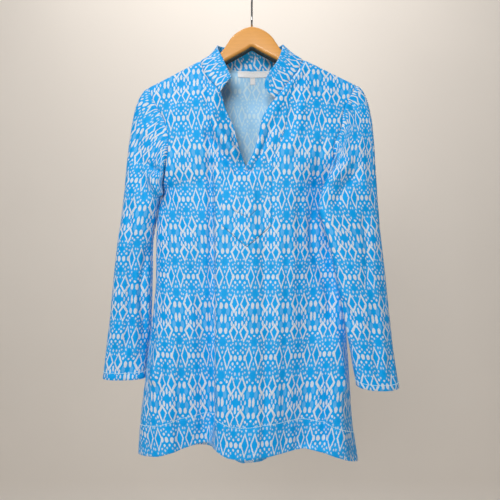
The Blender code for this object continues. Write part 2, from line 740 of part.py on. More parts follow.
def material(name, colour, rough, metal):
    """A plain material."""
    made = bpy.data.materials.new(name)
    made.use_nodes = True
    shader = made.node_tree.nodes["Principled BSDF"]
    shader.inputs["Base Color"].default_value = (*colour, 1.0)
    shader.inputs["Roughness"].default_value = rough
    shader.inputs["Metallic"].default_value = metal
    made.diffuse_color = (*colour, 1.0)
    return made


def solid(name, points, faces, look):
    """A named object with its origin at the middle of its upper edge."""
    world = np.array(points) * MM
    world[:, 2] *= -1.0
    low, high = world.min(axis=0), world.max(axis=0)
    origin = np.array([(low[0] + high[0]) / 2.0, (low[1] + high[1]) / 2.0, high[2]])
    if name == "hanger_hook":
        origin = np.zeros(3)
    mesh = bpy.data.meshes.new(name)
    mesh.from_pydata([tuple(p) for p in world - origin], [], [tuple(int(v) for v in f) for f in faces])
    work = bmesh.new()
    work.from_mesh(mesh)
    bmesh.ops.recalc_face_normals(work, faces=work.faces)
    bmesh.ops.triangulate(work, faces=work.faces)
    work.to_mesh(mesh)
    work.free()
    mesh.materials.append(look)
    made = bpy.data.objects.new(name, mesh)
    made.location = origin
    bpy.context.scene.collection.objects.link(made)
    return made


def main():
    """Builds every piece."""
    for old in list(bpy.data.objects):
        bpy.data.objects.remove(old, do_unlink=True)
    print_blue = material("printed_jersey", (0.16, 0.52, 0.86), 0.62, 0.0)
    tape = material("label_tape", (0.90, 0.89, 0.87), 0.7, 0.0)
    wood = material("pale_wood", (0.80, 0.52, 0.26), 0.45, 0.0)
    dark = material("dark_strip", (0.03, 0.04, 0.035), 0.8, 0.0)
    chrome = material("chromed_wire", (0.72, 0.72, 0.73), 0.15, 1.0)

    left, right = front_halves()
    back_left, back_right = back_halves()
    front_points, front_faces = joined(left, right, SLIT_ROW)
    back_points, back_faces = joined(back_left, back_right, NECK_CENTRE_ROW)
    solid("front_panel", *wall(front_points, front_faces, CLOTH_WALL), print_blue)
    solid("back_panel", *wall(back_points, back_faces, CLOTH_WALL), print_blue)
    for side, table, front, back in (
        ("left", LEFT_SLEEVE, left, back_left),
        ("right", RIGHT_SLEEVE, right, back_right),
    ):
        points, faces = tube(sleeve_grid(side, table, front, back))
        solid("sleeve_" + side, *wall(points, faces, CLOTH_WALL), print_blue)
    points, faces = sheet(collar_grid(left, right, back_left, back_right))
    solid("collar_band", *wall(points, faces, COLLAR_WALL), print_blue)

    first = CLOTH_WALL / 2.0 + PLACKET_GAP + PLACKET_WALL / 2.0
    second = first + PLACKET_GAP + PLACKET_WALL
    for name, piece, off in (
        ("placket_box", PLACKET_OUTER, first),
        ("placket_tongue", PLACKET_TONGUE, second),
    ):
        points, faces = sheet(pointed_grid(piece, front_points, front_faces, -off))
        solid(name, *wall(points, faces, PLACKET_WALL), print_blue)

    seam = np.concatenate(
        [back_left[1 : NECK_CENTRE_ROW + 1, -1], back_right[NECK_CENTRE_ROW - 1 : 0 : -1, -1]]
    )
    inside = CLOTH_WALL / 2.0 + LAYER_GAP + LABEL_WALL / 2.0
    for name, piece in (("neck_label", NECK_LABEL), ("size_tab", SIZE_TAB)):
        points, faces = sheet(label_grid(piece, back_points, back_faces, seam, -inside))
        solid(name, *wall(points, faces, LABEL_WALL), tape)

    solid("hanger_bar", *loft(bar_rings()), wood)
    solid("bar_strip", *loft(strip_rings()), dark)
    solid("hanger_hook", *loft(hook_rings()), chrome)


main()
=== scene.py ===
"""Long sleeve tunic top on its wooden hanger: the finished look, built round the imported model.

Sizes are in millimetres and "down" is measured downwards from the inside of the hook's bend, as in the
part's own source; pieces are turned into metres when their mesh is made. Left and right are as the front
is seen. The front faces -Y. Every cloth piece is a thin shell whose map holds the place on the cut cloth,
in repeats of the print, so the print bends and folds with the cloth.
"""

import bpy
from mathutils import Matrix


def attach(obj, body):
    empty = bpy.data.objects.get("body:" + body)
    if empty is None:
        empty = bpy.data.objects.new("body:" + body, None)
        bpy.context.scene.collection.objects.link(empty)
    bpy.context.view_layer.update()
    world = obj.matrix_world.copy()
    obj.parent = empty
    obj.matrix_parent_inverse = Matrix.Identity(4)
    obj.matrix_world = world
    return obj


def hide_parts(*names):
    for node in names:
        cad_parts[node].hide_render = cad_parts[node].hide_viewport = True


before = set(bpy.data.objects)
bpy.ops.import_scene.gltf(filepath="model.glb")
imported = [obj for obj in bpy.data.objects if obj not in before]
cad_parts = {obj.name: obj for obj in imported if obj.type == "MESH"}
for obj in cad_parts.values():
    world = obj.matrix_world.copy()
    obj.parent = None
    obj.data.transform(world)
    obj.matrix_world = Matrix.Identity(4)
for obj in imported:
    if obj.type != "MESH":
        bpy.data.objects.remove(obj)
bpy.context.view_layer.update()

import functools
import math

import bpy
import numpy as np
from bpy.props import FloatProperty, FloatVectorProperty, PointerProperty
from mathutils import Vector
from mathutils.bvhtree import BVHTree

bl_info = {
    "name": "Tunic top on a hanger",
    "version": (1, 0, 0),
    "blender": (4, 5, 0),
    "location": "3D View > Sidebar > Tunic",
    "description": "Cut and sewn pieces of a printed tunic top, its stitching, its hanger and a plain stage",
    "category": "Object",
}

MM = 0.001
BODY = "root"
SIGN = {"left": -1.0, "right": 1.0}

# How much finer the shells are than the part's solids, along the rows and across them
ROW_CUTS = 5
COLUMN_CUTS = 6
SLEEVE_CUTS = 5
RING_CUTS = 4

# Cloth and seams, as in the part's source
CLOTH_WALL = 1.3
COLLAR_WALL = 2.0
PLACKET_WALL = 0.6
LABEL_WALL = 0.6
LAYER_GAP = 0.35
PLACKET_GAP = 0.35
SEAM_HALF = 0.25
ARMHOLE_GAP = 0.6
UNDERARM_GAP = 1.2
NECK_GAP = 0.6

COLUMN_STOPS = (0, 0.016, 0.045, 0.09, 0.15, 0.22, 0.30, 0.385, 0.47, 0.56, 0.65, 0.74, 0.83, 0.915, 1)
ROUNDNESS = 2.15
ROW_SAMPLES = 241

# Upper rows of the front. steps, out_x, out_y, out_down, in_x, in_y, in_down
FRONT_LEFT_ROWS = (
    (1, -200, -0.25, 211, -98.5, -0.25, 158),
    (1, -200, -3.5, 211.3, -98.5, -3.5, 158.3),
    (1, -198.5, -8.5, 214, -98, -8.5, 160.5),
    (1, -195.5, -12, 220, -97, -12, 165),
    (1, -191, -14.5, 230, -95, -15.5, 172),
    (1, -183, -17.5, 248, -88.7, -20.5, 188),
    (1, -174, -21, 263, -75.8, -28, 205),
    (1, -166, -25, 278, -59, -36, 226),
    (1, -160, -29, 299, -51.5, -38, 252),
    (1, -158, -32, 315, -43, -40, 272),
    (1, -158, -34, 333, -34, -42, 291),
    (1, -160, -34, 352, -27.6, -43, 318),
    (1, -163.6, -29, 376, -21, -43, 342),
    (1, -168, -16, 396, -11, -43, 369),
    (1, -170.5, -0.25, 411, -11, -44, 388),
)
FRONT_RIGHT_ROWS = (
    (1, 202, -0.25, 206, 98.5, -0.25, 155.5),
    (1, 202, -3.5, 206.3, 98.5, -3.5, 155.8),
    (1, 200.5, -8.5, 209, 98, -8.5, 158),
    (1, 197.5, -12, 215.5, 97, -12, 163),
    (1, 192, -14.5, 223, 93.5, -15.5, 170.5),
    (1, 185, -18, 234, 88, -18.5, 181.5),
    (1, 178, -21, 249, 79, -23, 194),
    (1, 172.5, -25, 266, 64, -29, 213),
    (1, 170, -29, 287, 45.8, -34, 237),
    (1, 164, -33, 303, 29.5, -39, 257.5),
    (1, 156, -35, 320, 19, -41, 279),
    (1, 153, -34, 342, 12, -43, 311),
    (1, 156, -26, 368, 1, -43, 346),
    (1, 162, -14, 392, -11, -43, 369),
    (1, 168, -0.25, 411, -11, -44, 388),
)
SLIT_ROW = 13
LEFT_COLLAR_END = 7
RIGHT_COLLAR_END = 8
RIGHT_SLIT_START = 4

# Upper rows of the back.
# steps, left_x, left_down, right_x, right_down, out_y, in_x, in_y, left_in_down, right_in_down
BACK_ROWS = (
    (1, -200, 211, 202, 206, 0.25, -98.5, 0.25, 158, 155.5),
    (1, -200, 211.3, 202, 206.3, 3.5, -98.5, 3.5, 158.2, 155.7),
    (1, -198.5, 214, 200.5, 209, 8.5, -98, 8.5, 159, 156.8),
    (1, -195.5, 220, 197.5, 215.5, 12, -96.5, 12.5, 159.6, 157.8),
    (1, -191, 230, 192.5, 226, 14.5, -93, 17.5, 160.2, 158.8),
    (1, -185, 245, 185.5, 242, 18, -85, 25, 160.2, 159.4),
    (1, -178, 262, 178, 260, 22.5, -72, 33.5, 159.8, 159.4),
    (1, -173, 280, 172.5, 279, 26.5, -54, 40, 159.8, 159.6),
    (1, -170, 298, 169, 298, 29.5, -29, 44.5, 161.2, 161.2),
    (1, -168.5, 316, 167, 316, 31.5, 0, 46.5, 162, 162),
    (1, -168, 338, 166, 338, 32.5, 0, 48, 190, 190),
    (1, -168.5, 358, 165.5, 358, 31.5, 0, 49, 224, 224),
    (1, -169.5, 380, 166, 380, 26, 0, 49, 264, 264),
    (1, -170.5, 398, 167, 398, 14.5, -1, 48, 308, 308),
    (1, -170.5, 411, 168, 411, 0.25, -2, 46.5, 352, 352),
)
NECK_CENTRE_ROW = 9

# The columns of the back's table that each half takes, and the seam's depth that the right half mirrors
BACK_COLUMNS = {"left": [0, 1, 5, 2, 6, 7, 8], "right": [0, 3, 5, 4, 6, 7, 9]}
BACK_MIDDLE = -5.0

# Lower rows, from the underarm to the hem.
# steps, left_x, left_down, right_x, right_down, front_x, front_y, front_down, back_x, back_y, back_down
LOWER_ROWS = (
    (3, -178.6, 440, 170.5, 440, -10.5, -46.5, 425, -3, 45, 402),
    (4, -183.5, 502, 171, 502, -10, -48.5, 490, -4, 42, 482),
    (3, -184, 579, 174, 579, -9, -50.5, 568, -5, 39, 570),
    (3, -189.5, 640, 178.5, 640, -8, -52.5, 630, -5, 38, 640),
    (4, -197, 700, 183, 706, -7, -55, 692, -5, 38, 706),
    (4, -205, 772, 187.7, 775, -6.5, -57, 764, -5, 40, 780),
    (4, -213.5, 845, 192.4, 850, -6, -60, 832, -5, 43, 855),
    (0, -217.7, 911, 203.8, 925, -5, -62, 899, -5, 46, 939),
)

# The hem's lower edge: x, down
FRONT_HEM = (
    (-217.7, 911), (-175, 903), (-130, 891), (-88, 883), (-70, 887), (-45, 896),
    (-10, 898), (30, 894.5), (96, 889.5), (135, 896), (165, 905.5), (188, 917.5),
    (203.8, 925),
)
BACK_HEM = (
    (-217.7, 911), (-150, 910), (-110, 911), (-86, 916), (-60, 928), (-20, 941),
    (20, 940), (60, 926), (110, 911), (160, 913), (203.8, 925),
)
HEM_START = 470.0

# Folds of the part's own solids: depth above 0 goes into the body.
# top_x, top_down, low_x, low_down, top_left, top_right, low_left, low_right, top_depth, low_depth
FRONT_FOLDS = (
    (-77, 240, -87, 905, 22, 12, 48, 17, 2.5, 36),
    (-22, 500, -17, 905, 30, 30, 36, 60, -2, -15),
    (22, 430, 34, 780, 16, 16, 20, 20, 4, 3),
    (117, 400, 97, 905, 22, 24, 46, 34, 9, 24),
    (146, 400, 146, 660, 24, 26, 22, 22, 10, 6),
    (158, 680, 167, 905, 18, 18, 24, 22, -2, -14),
    (-160, 600, -172, 905, 26, 26, 26, 26, -1, -7),
)
BACK_FOLDS = (
    (-118, 330, -140, 930, 18, 18, 30, 26, 3, 20),
    (-64, 420, -82, 930, 24, 24, 34, 30, -2, -10),
    (-8, 560, -12, 930, 30, 26, 44, 46, 3, 32),
    (58, 400, 78, 930, 22, 24, 34, 34, -2, -12),
    (112, 300, 136, 930, 16, 20, 30, 28, 4, 18),
)
FOLD_FADE = 26.0
FOLD_ENDS = 45.0
FOLD_GROWTH = 1.6
FOLDS_FROM = 250.0

# Finer creases. Each has its points as x and down, its half width, and its depth at
# the first and the last point: above 0 goes into the garment, below 0 stands out of it.
FRONT_CREASES = (
    (((-88, 222), (-83, 300), (-77, 400), (-76, 521), (-75, 615), (-76, 709), (-77, 804), (-78, 884)), 6, 2.5, 9),
    (((-69, 300), (-64, 400), (-62, 521), (-60, 660), (-59, 800)), 8, -1, -3),
    (((-78, 252), (-72, 280), (-60, 304), (-40, 330), (-22, 352)), 7.5, -5, -8),
    (((-90, 290), (-76, 318), (-53, 347), (-28, 373), (6, 376)), 7, 4.5, 5.5),
    (((-84, 355), (-62, 372), (-30, 384)), 6, 1.6, 1),
    (((-99, 196), (-92, 240), (-84, 300), (-80, 360)), 9, -2, -2.5),
    (((104, 190), (96, 240), (84, 300), (66, 350)), 9, -1.5, -2),
    (((62, 236), (44, 262), (28, 290)), 7, -2, -2.5),
    (((38, 292), (22, 330), (6, 362)), 6, 2, 2.8),
    (((78, 268), (46, 330), (22, 372)), 9, 1.2, 1.6),
    (((22, 521), (25, 625)), 7, 1.6, 1.4),
    (((66, 470), (64, 600), (58, 831)), 9, 1.2, 2.4),
    (((90, 400), (88, 520), (86, 640)), 7, 1.8, 1.2),
    (((112, 436), (114, 521), (143, 595), (150, 660)), 7.5, 3, 2),
    (((122, 700), (132, 782), (134, 884)), 7, 3, 6),
    (((-20, 590), (-24, 700), (-30, 884)), 9, -1, -2),
    (((24, 660), (24, 780), (20, 884)), 8, 1.5, 2.6),
    (((-131, 640), (-133, 740), (-136, 884)), 8, 1.2, 3),
    (((-112, 560), (-108, 700), (-108, 884)), 10, -1, -2.2),
    (((-168, 655), (-176, 718), (-186, 776)), 9, -1.5, -4.5),
    (((-164, 690), (-168, 744), (-176, 800)), 5, 1.5, 2.5),
    (((158, 668), (168, 730), (172, 792)), 9, -1.5, -4.5),
    (((-150, 420), (-140, 470), (-134, 560)), 9, 1.6, 0.8),
    (((-142, 300), (-126, 340), (-120, 400)), 9, 1.2, 0.8),
    (((140, 300), (124, 350), (118, 410)), 8, 1.4, 1.4),
    (((-150, 850), (-146, 898)), 7, -1.2, -2.4),
    (((8, 840), (10, 896)), 7, -1, -2),
    (((74, 836), (72, 890)), 7, -1, -2.2),
)
BACK_CREASES = (
    (((-96, 250), (-112, 360), (-124, 520), (-134, 700)), 7, 1.5, 3),
    (((84, 240), (100, 340), (108, 470), (118, 640)), 7.5, 1.5, 2.5),
    (((-30, 210), (-52, 300), (-60, 420)), 8, -1.4, -1.8),
    (((34, 208), (50, 290), (58, 400)), 8, -1.4, -1.8),
    (((-4, 360), (2, 480), (-6, 640), (-10, 800)), 9, 1.2, 3),
    (((-90, 600), (-98, 760), (-104, 900)), 7, 2, 4),
    (((36, 560), (40, 720), (34, 920)), 7, 1.5, 4),
    (((150, 560), (160, 700), (166, 880)), 8, -1.5, -4),
    (((-160, 480), (-172, 640), (-184, 820)), 8, -1.5, -3.5),
    (((-150, 400), (-112, 440), (-86, 500)), 7, 2.4, 1),
    (((150, 402), (118, 446), (96, 520)), 7, 2.4, 1),
    (((96, 850), (94, 905)), 7, -1.2, -2.4),
)
LEFT_FRONT_CREASES = (
    (((-230, 420), (-230, 500), (-232, 579), (-241, 727)), 6.5, 3.4, 4.6),
    (((-193, 500), (-203, 548), (-213, 600), (-206, 650), (-204, 700)), 6.5, 3.8, 4.2),
    (((-222, 286), (-212, 372), (-197, 428)), 8, 1.5, 3),
    (((-250, 470), (-256, 560), (-262, 640)), 9, -1, -2.5),
    (((-190, 378), (-180, 400), (-172, 418)), 8, -5, -9),
    (((-206, 352), (-188, 368), (-168, 378)), 6, 3, 5),
    (((-214, 560), (-224, 640), (-222, 730)), 7, -1.5, -3),
    (((-196, 236), (-190, 270), (-182, 300)), 6, 1.2, 1.4),
    (((-262, 700), (-266, 762)), 6, 1.6, 2.2),
    (((-232, 716), (-234, 764)), 6, 1.6, 2),
)
LEFT_BACK_CREASES = (
    (((-214, 280), (-204, 360), (-192, 420)), 8, 1.5, 3),
    (((-216, 430), (-220, 560), (-236, 720)), 7.5, 3, 3.4),
    (((-240, 520), (-248, 640), (-258, 740)), 8, -1.5, -3),
    (((-196, 520), (-206, 620), (-212, 720)), 7, 2, 2.6),
)
RIGHT_FRONT_CREASES = (
    (((186, 346), (166, 374), (140, 402)), 9.5, -4, -6),
    (((158, 344), (144, 374), (126, 396)), 5.5, 3, 4),
    (((200, 372), (172, 404), (152, 440)), 8.5, 4, 5),
    (((208, 440), (212, 520), (212, 592)), 8, 3, 3),
    (((186, 230), (192, 250), (199, 272)), 5, 2.6, 1),
    (((203, 300), (208, 360), (212, 430)), 9, -1.2, -2.5),
    (((162, 608), (178, 640), (190, 662)), 7, 3.5, 2.5),
    (((168, 640), (178, 664), (184, 690)), 7, -2, -3),
    (((226, 560), (234, 640), (246, 730)), 8, -1.5, -2.5),
    (((214, 640), (224, 700), (234, 760)), 7, 2, 2.4),
    (((256, 716), (258, 766)), 6, 1.5, 2),
)
RIGHT_BACK_CREASES = (
    (((206, 280), (206, 360), (196, 440)), 8, 1.5, 3.2),
    (((200, 450), (214, 560), (228, 700)), 7.5, 3, 3.2),
    (((232, 440), (238, 560), (248, 700)), 8, -1.5, -2.8),
    (((178, 520), (192, 620), (206, 720)), 7, 2.2, 2.4),
)

# Sleeve sections. steps, down, x, y, half_wide, half_deep, turn, slant, dip
LEFT_SLEEVE = (
    (3, 446, -214.3, -2, 33.6, 25, 0, 4, 0),
    (2, 500, -222.5, 1, 32.4, 27, 0, 4, 0),
    (3, 579, -229, 4, 36.4, 24, 0, 3, 0),
    (3, 656, -235, 6, 39.2, 22, 0, 2, 0),
    (2, 722, -242.5, 8, 40.4, 21, 0, 1, 0),
    (0, 769, -247.6, 8, 41.2, 20, 0, -1, 1),
)
RIGHT_SLEEVE = (
    (3, 446, 181.5, -36, 58.5, 14, 16, -10, 0),
    (2, 500, 192, -37, 52.5, 16, 17, -8, 0),
    (3, 566, 202.5, -36, 49, 18, 17, -5, 1),
    (3, 636, 213.5, -33, 44.5, 20, 16, -2, 2),
    (2, 716, 226, -29, 41.5, 21.5, 13, 0, 3),
    (0, 776, 236.5, -27, 41.5, 22, 12, 2, 5),
)
SLEEVE_TWIST = {"left": -12, "right": -80}
EVEN_SHARE = 0.6
CAP_STEPS = 8
CAP_START = 0.5
CAP_END = 0.95
UNDERARM_DROP = 0.1

# The collar's upper edge, from its left end round the back: share of the seam, x, y, down
COLLAR_TOP = (
    (0, -38.7, -32, 197.8), (0.08, -47.9, -27, 176.7), (0.16, -57.6, -20.5, 155),
    (0.225, -64.8, -12.5, 138.4), (0.275, -67, 3, 126.2), (0.345, -61, 24, 121),
    (0.42, -36, 40, 118.5), (0.5, -2, 45, 118), (0.58, 32, 40, 118.5),
    (0.65, 54.5, 24, 121), (0.715, 60.4, 3, 124.3), (0.765, 57.5, -13.5, 140.6),
    (0.83, 52, -18, 156.8), (0.90, 42.6, -23, 173.5), (0.95, 34.2, -26, 185.2),
    (1, 27.5, -28, 198.1),
)
COLLAR_ROWS = 14
COLLAR_BOW = 1.0
COLLAR_MIDDLE = (0, 5, 0)

# Placket pieces on the front below the slit, and the labels inside the back
PLACKET_OUTER = {"left": -55, "right": 36, "top": 373, "side": 476, "point": 515, "middle": -9.5}
PLACKET_TONGUE = {"left": -36.5, "right": 8, "top": 398, "side": 446, "point": 461, "middle": -6}
PLACKET_CELLS = (44, 60)
NECK_LABEL = (-28, 35, 1.2, 13)
SIZE_TAB = (-3, 7, 13.5, 27)

# Wooden bar: x, top, bottom, mirrored to the left
BAR_OUTLINE = (
    (0, 92, 131.7), (11, 94, 137.6), (22, 98.8, 143.6), (32, 105.6, 149),
    (40, 113.5, 153.3), (48.4, 126.3, 157.8), (57, 138, 162.5), (66, 145.8, 167.3),
    (80, 152.6, 174.9), (98, 158.6, 184.6), (125, 172, 199.2), (150, 184.7, 212.7),
    (172, 196.2, 224), (187, 205, 230.5), (196, 213.2, 232.5), (201, 221.5, 229.5),
)
BAR_TILT = 0.0133
BAR_THICK = 19.0
BAR_ROUND = 7.0
STRIP_HIGH = 3.0
STRIP_WIDE = 15.0
STRIP_REACH = 175.0
BAR_CUTS = 5

WIRE = 3.8
STEM_TOP = 44.0
BEND_RADIUS = 18.5
BEND_PULL = 0.62
TIP_ANGLE = 205.0
WIRE_SIDES = 28

# Sewing: how far seams sink in, and where the stitched turn-ups are
SEAM_DIP = 1.5
SEAM_SOFT = 3.0
SLIT_ROLL = 3.0
SLIT_ROLL_WIDE = 6.0
SLIT_TURN = 9.0
SLIT_TURN_WIDE = 12.0
BODY_CREASES = 1.5
SLEEVE_CREASES = 1.3
HEM_TURN = 56.0
# The folds at the top of a sleeve turn the cloth over, so there the printed side shows
TURNED_TOP = 75.0
CUFF_TURN = {"left": 13, "right": 10}

# Stitches: from one to the next, length and thickness
LONG_STITCH = (3.0, 2.6, 0.6)
FINE_STITCH = (1.5, 1.45, 0.30)

# The print's repeat is 30 units wide and 80 high. A quarter of it is charted, as it is mirrored: across
# from the middle of the drops (0) to the middle of the tall diamonds (15), and down from the row of the
# diamonds (0) to the row of the stars (40). Seeds: x, y, half width, half height
PRINT_WIDE = 30.0
PRINT_HIGH = 80.0
UPPER_SHARE = 0.52
SEEDS = (
    (2.4, 0, 1.65, 2.9), (6.5, 0, 1.3, 3), (0, 4.9, 0.9, 1.3), (4.6, 5.5, 1, 1.5),
    (15, 22.4, 1.1, 1.1), (9.8, 21.6, 1.05, 1.4), (12.6, 27.6, 1.6, 3.2), (0, 32.6, 1, 3.3),
    (3, 35.2, 1, 2.9), (7, 35.2, 1, 2.9), (8.8, 40, 0.75, 2.3), (13.2, 40, 1.3, 4.7),
)
FINE_SEEDS = (
    (2.4, 7.8, 0.75, 1.1), (7, 8.8, 0.9, 1.2), (4.4, 10.3, 0.8, 1.3), (2, 14.4, 0.75, 1.5),
    (7.2, 13, 0.75, 1), (5.2, 14.2, 0.6, 1), (0, 18, 0.65, 1.1), (8.4, 17.4, 0.7, 1.1),
    (2.8, 18.6, 0.6, 1), (15, 5.6, 0.7, 1.7), (14, 10.2, 0.7, 1.3), (11.3, 13.4, 0.75, 1.3),
    (10.1, 16.8, 0.75, 1.2), (11.9, 19.8, 0.8, 1.2), (5.2, 38.9, 0.7, 1.3), (10.6, 10, 0.6, 1),
)
PALE_SEEDS = ((11, 32.9, 1.6, 3.8),)
STARS = ((0, 10.4, 2.5, 3.4), (15, 15.8, 2.6, 3.6), (0, 40, 3.5, 4.2), (15, 32.6, 3.6, 4.2))
EDGE_SOFT = 1.4
# Outlined shapes: middle x and y, half width, height above and below, first outside and then inside
KITES = (
    ((10.3, 0, 4.1, 12, 12), (10.3, 0, 2.8, 8.4, 8.4)),
    ((5, 26.6, 4.6, 11.2, 8.4), (4.7, 26, 2.75, 7.2, 5)),
)

# Where the diamond rows lie on the front and the back: down, repeats
PRINT_ROWS = ((126, -1), (275, 0), (427, 1), (571, 2), (718, 3), (872.4, 4), (1021, 5))
# How far the middle of the front is from the nearest column of drops: down, mm
FRONT_MIDDLE = ((369, 10), (527, 11.4), (617, 14.3), (677, 17), (768, 21.3), (831, 25.3), (911, 30))
# Cloth that the left fold holds out of sight, beyond what its own depth takes: down, mm
LEFT_TUCK = ((160, 0), (327, 4), (386, 8), (473, 12), (531, 15), (757, 24), (911, 26))
TUCK_X = -77.0
TUCK_HALF = 9.0

# How the print lies on the back, and on the sleeves across and down, in mm
BACK_PRINT_DROP = 24.0
SLEEVE_PRINT = {"left": (22.0, 688.0), "right": (4.0, 574.0)}
# The placket piece goes up both sides of the slit to the collar: its outer edges as down, x, and how much
# its print leans outwards there
PLACKET_LEGS = {
    "left": ((180, -89), (212, -86), (246, -80.5), (281, -75.5), (304, -69), (326, -61.5),
             (350, -56.5), (376, -55)),
    "right": ((176, 79), (212, 76), (241, 69), (270, 65), (299, 60), (326, 50),
              (350, 39), (376, 36)),
}
PLACKET_LEAN = {"left": -0.066, "right": 0.075}
PLACKET_PRINT = (-18.7, 389)

# A place between the front and the back at the neck, from which the inside of the back is seen
INSIDE = 4.0

# Loops of the knit in a repeat, and how far the wrong side is washed out
KNIT_LOOPS = (76.0, 210.0, 0.0)
WASHED_OUT = 0.62

# The stage in metres. Each light: name, place, aim, size, share of the key light's power, colour
FLOOR_FRONT = -3.0
WALL_AT = 2.1
WALL_TOP = 2.6
SWEEP_RADIUS = 0.35
STAGE_HALF = 4.0
LIGHTS = (
    ("key", (-0.35, -2.3, 0.0), (0.0, 0.0, -0.5), 0.8, 1.05, (1.0, 0.99, 0.97)),
    ("side", (-1.2, -1.5, 1.9), (0.0, 0.0, -0.6), 0.5, 0.85, (1.0, 0.99, 0.97)),
    ("wall", (-0.1, 0.7, 1.9), (0.3, 2.1, 0.5), 1.6, 1.06, (1.0, 0.98, 0.96)),
    ("rear", (0.6, 1.9, 0.1), (0.6, 0.0, 0.1), 1.4, 0.7, (1.0, 1.0, 1.0)),
)

# The photograph's camera: its size in pixels, metres a pixel at the hanger, and where it stands
SENSOR = 36.0
IMAGE = 500
PIXEL = 0.00193
CAMERA_AWAY = 1.05
CAMERA_SIDE = -0.0035
CAMERA_HIGH = -0.5215


def unit(vectors):
    """The vectors at a length of one."""
    return vectors / np.maximum(np.linalg.norm(vectors, axis=-1, keepdims=True), 1e-12)


def soft_step(value):
    """A smooth ramp from 0 to 1."""
    value = np.clip(value, 0.0, 1.0)
    return value * value * (3.0 - 2.0 * value)


def bell(distance, reach):
    """A soft hump: 1 at no distance, and gone at about twice its reach."""
    return np.exp(-((distance / reach) ** 2))


def slopes(values):
    """Slope at each row for a curve that passes through the rows and never overshoots them."""
    steps = np.diff(values, axis=0)
    before, after = steps[:-1], steps[1:]
    turning = before * after <= 0
    safe = np.where(turning, 1.0, before + after)
    middle = np.where(turning, 0.0, 2.0 * before * after / safe)
    return np.concatenate([steps[:1], middle, steps[-1:]])


def cubic(part, start, leave, end, arrive):
    """A curve from start to end that leaves and arrives with the given slopes."""
    square, cube = part**2, part**3
    first = (2 * cube - 3 * square + 1) * start + (cube - 2 * square + part) * leave
    return first + (3 * square - 2 * cube) * end + (cube - square) * arrive


def through(values, places):
    """The rows' smooth curve at the given places, where a whole number is a row."""
    values, places = np.asarray(values, float), np.asarray(places, float)
    slope = slopes(values)
    row = np.minimum(places.astype(int), len(values) - 2)
    return cubic((places - row)[:, None], values[row], slope[row], values[row + 1], slope[row + 1])


def places_of(steps, cuts):
    """Row places for a table whose first column says how many steps each row has, each cut finer."""
    places = []
    for row, count in enumerate(steps):
        fine = int(count) * cuts
        places += [row + part / fine for part in range(fine)]
    return places + [len(steps) - 1]


def read(table, x):
    """A two-column table read at x."""
    table = np.asarray(table, float)
    return np.interp(x, table[:, 0], table[:, 1])


def gaps(points, axis=0):
    """Distances between neighbouring points along an axis."""
    return np.linalg.norm(np.diff(points, axis=axis), axis=-1)


def run_of(steps, axis):
    """Running length of steps along an axis, starting at 0."""
    pad = [(0, 0)] * steps.ndim
    pad[axis] = (1, 0)
    return np.pad(np.cumsum(steps, axis=axis), pad)


def run_back(steps, axis):
    """Running length of steps along an axis, from its far end."""
    return np.flip(run_of(np.flip(steps, axis), axis), axis)


def fold_depth(folds, x, down):
    """How far the folds move points to the back of a front, or to the front of a back."""
    total = np.zeros_like(x)
    for top_x, top_down, low_x, low_down, t_left, t_right, l_left, l_right, top_deep, low_deep in folds:
        share = np.clip((down - top_down) / (low_down - top_down), 0.0, 1.0)
        middle = top_x + (low_x - top_x) * share
        left = t_left + (l_left - t_left) * share
        right = t_right + (l_right - t_right) * share
        deep = top_deep + (low_deep - top_deep) * share**FOLD_GROWTH
        start = np.clip(1.0 + (down - top_down) / FOLD_ENDS, 0.0, 1.0)
        end = np.clip(1.0 - (down - low_down) / FOLD_ENDS, 0.0, 1.0)
        total += deep * start * end * bell(x - middle, np.where(x < middle, left, right))
    return total


def half_row(outer, inner, folds, into, plain, stops):
    """Points of one row from its outer to its inner edge, bowed like a flattened ring, with its folds."""
    share = np.linspace(0.0, 1.0, ROW_SAMPLES) ** 1.5
    bow = (1.0 - (1.0 - share) ** ROUNDNESS) ** (1.0 / ROUNDNESS)
    x = outer[0] + (inner[0] - outer[0]) * share
    y = outer[1] + (inner[1] - outer[1]) * bow
    down = outer[2] + (inner[2] - outer[2]) * share
    if not plain:
        y += into * fold_depth(folds, x, down) * soft_step(np.abs(x - outer[0]) / FOLD_FADE)
    length = run_of(np.hypot(np.hypot(np.diff(x), np.diff(y)), np.diff(down)), 0)
    return np.stack([np.interp(stops * length[-1], length, v) for v in (x, y, down)], axis=1)


def half_panel(upper, lower, folds, into, hem):
    """One half of a panel as rows of points, with its hem's edge drawn to the table."""
    table = np.concatenate([upper, lower])
    rows = through(table[:, 1:], places_of(table[:, 0], ROW_CUTS))
    count = (len(COLUMN_STOPS) - 1) * COLUMN_CUTS + 1
    stops = np.interp(np.arange(count) / COLUMN_CUTS, np.arange(len(COLUMN_STOPS)), COLUMN_STOPS)
    hem_line = rows[-1]
    grid = []
    for row in rows:
        line = half_row(row[:3], row[3:], folds, into, row[2] < FOLDS_FROM, stops)
        low = np.clip((line[:, 2] - HEM_START) / (hem_line[2] - HEM_START), 0.0, 1.0) ** 2
        part = np.clip((line[:, 0] - hem_line[0]) / (hem_line[3] - hem_line[0]), 0.0, 1.0)
        plain = hem_line[2] + (hem_line[5] - hem_line[2]) * part
        line[:, 2] += low * (read(hem, line[:, 0]) - plain)
        grid.append(line)
    return np.array(grid)


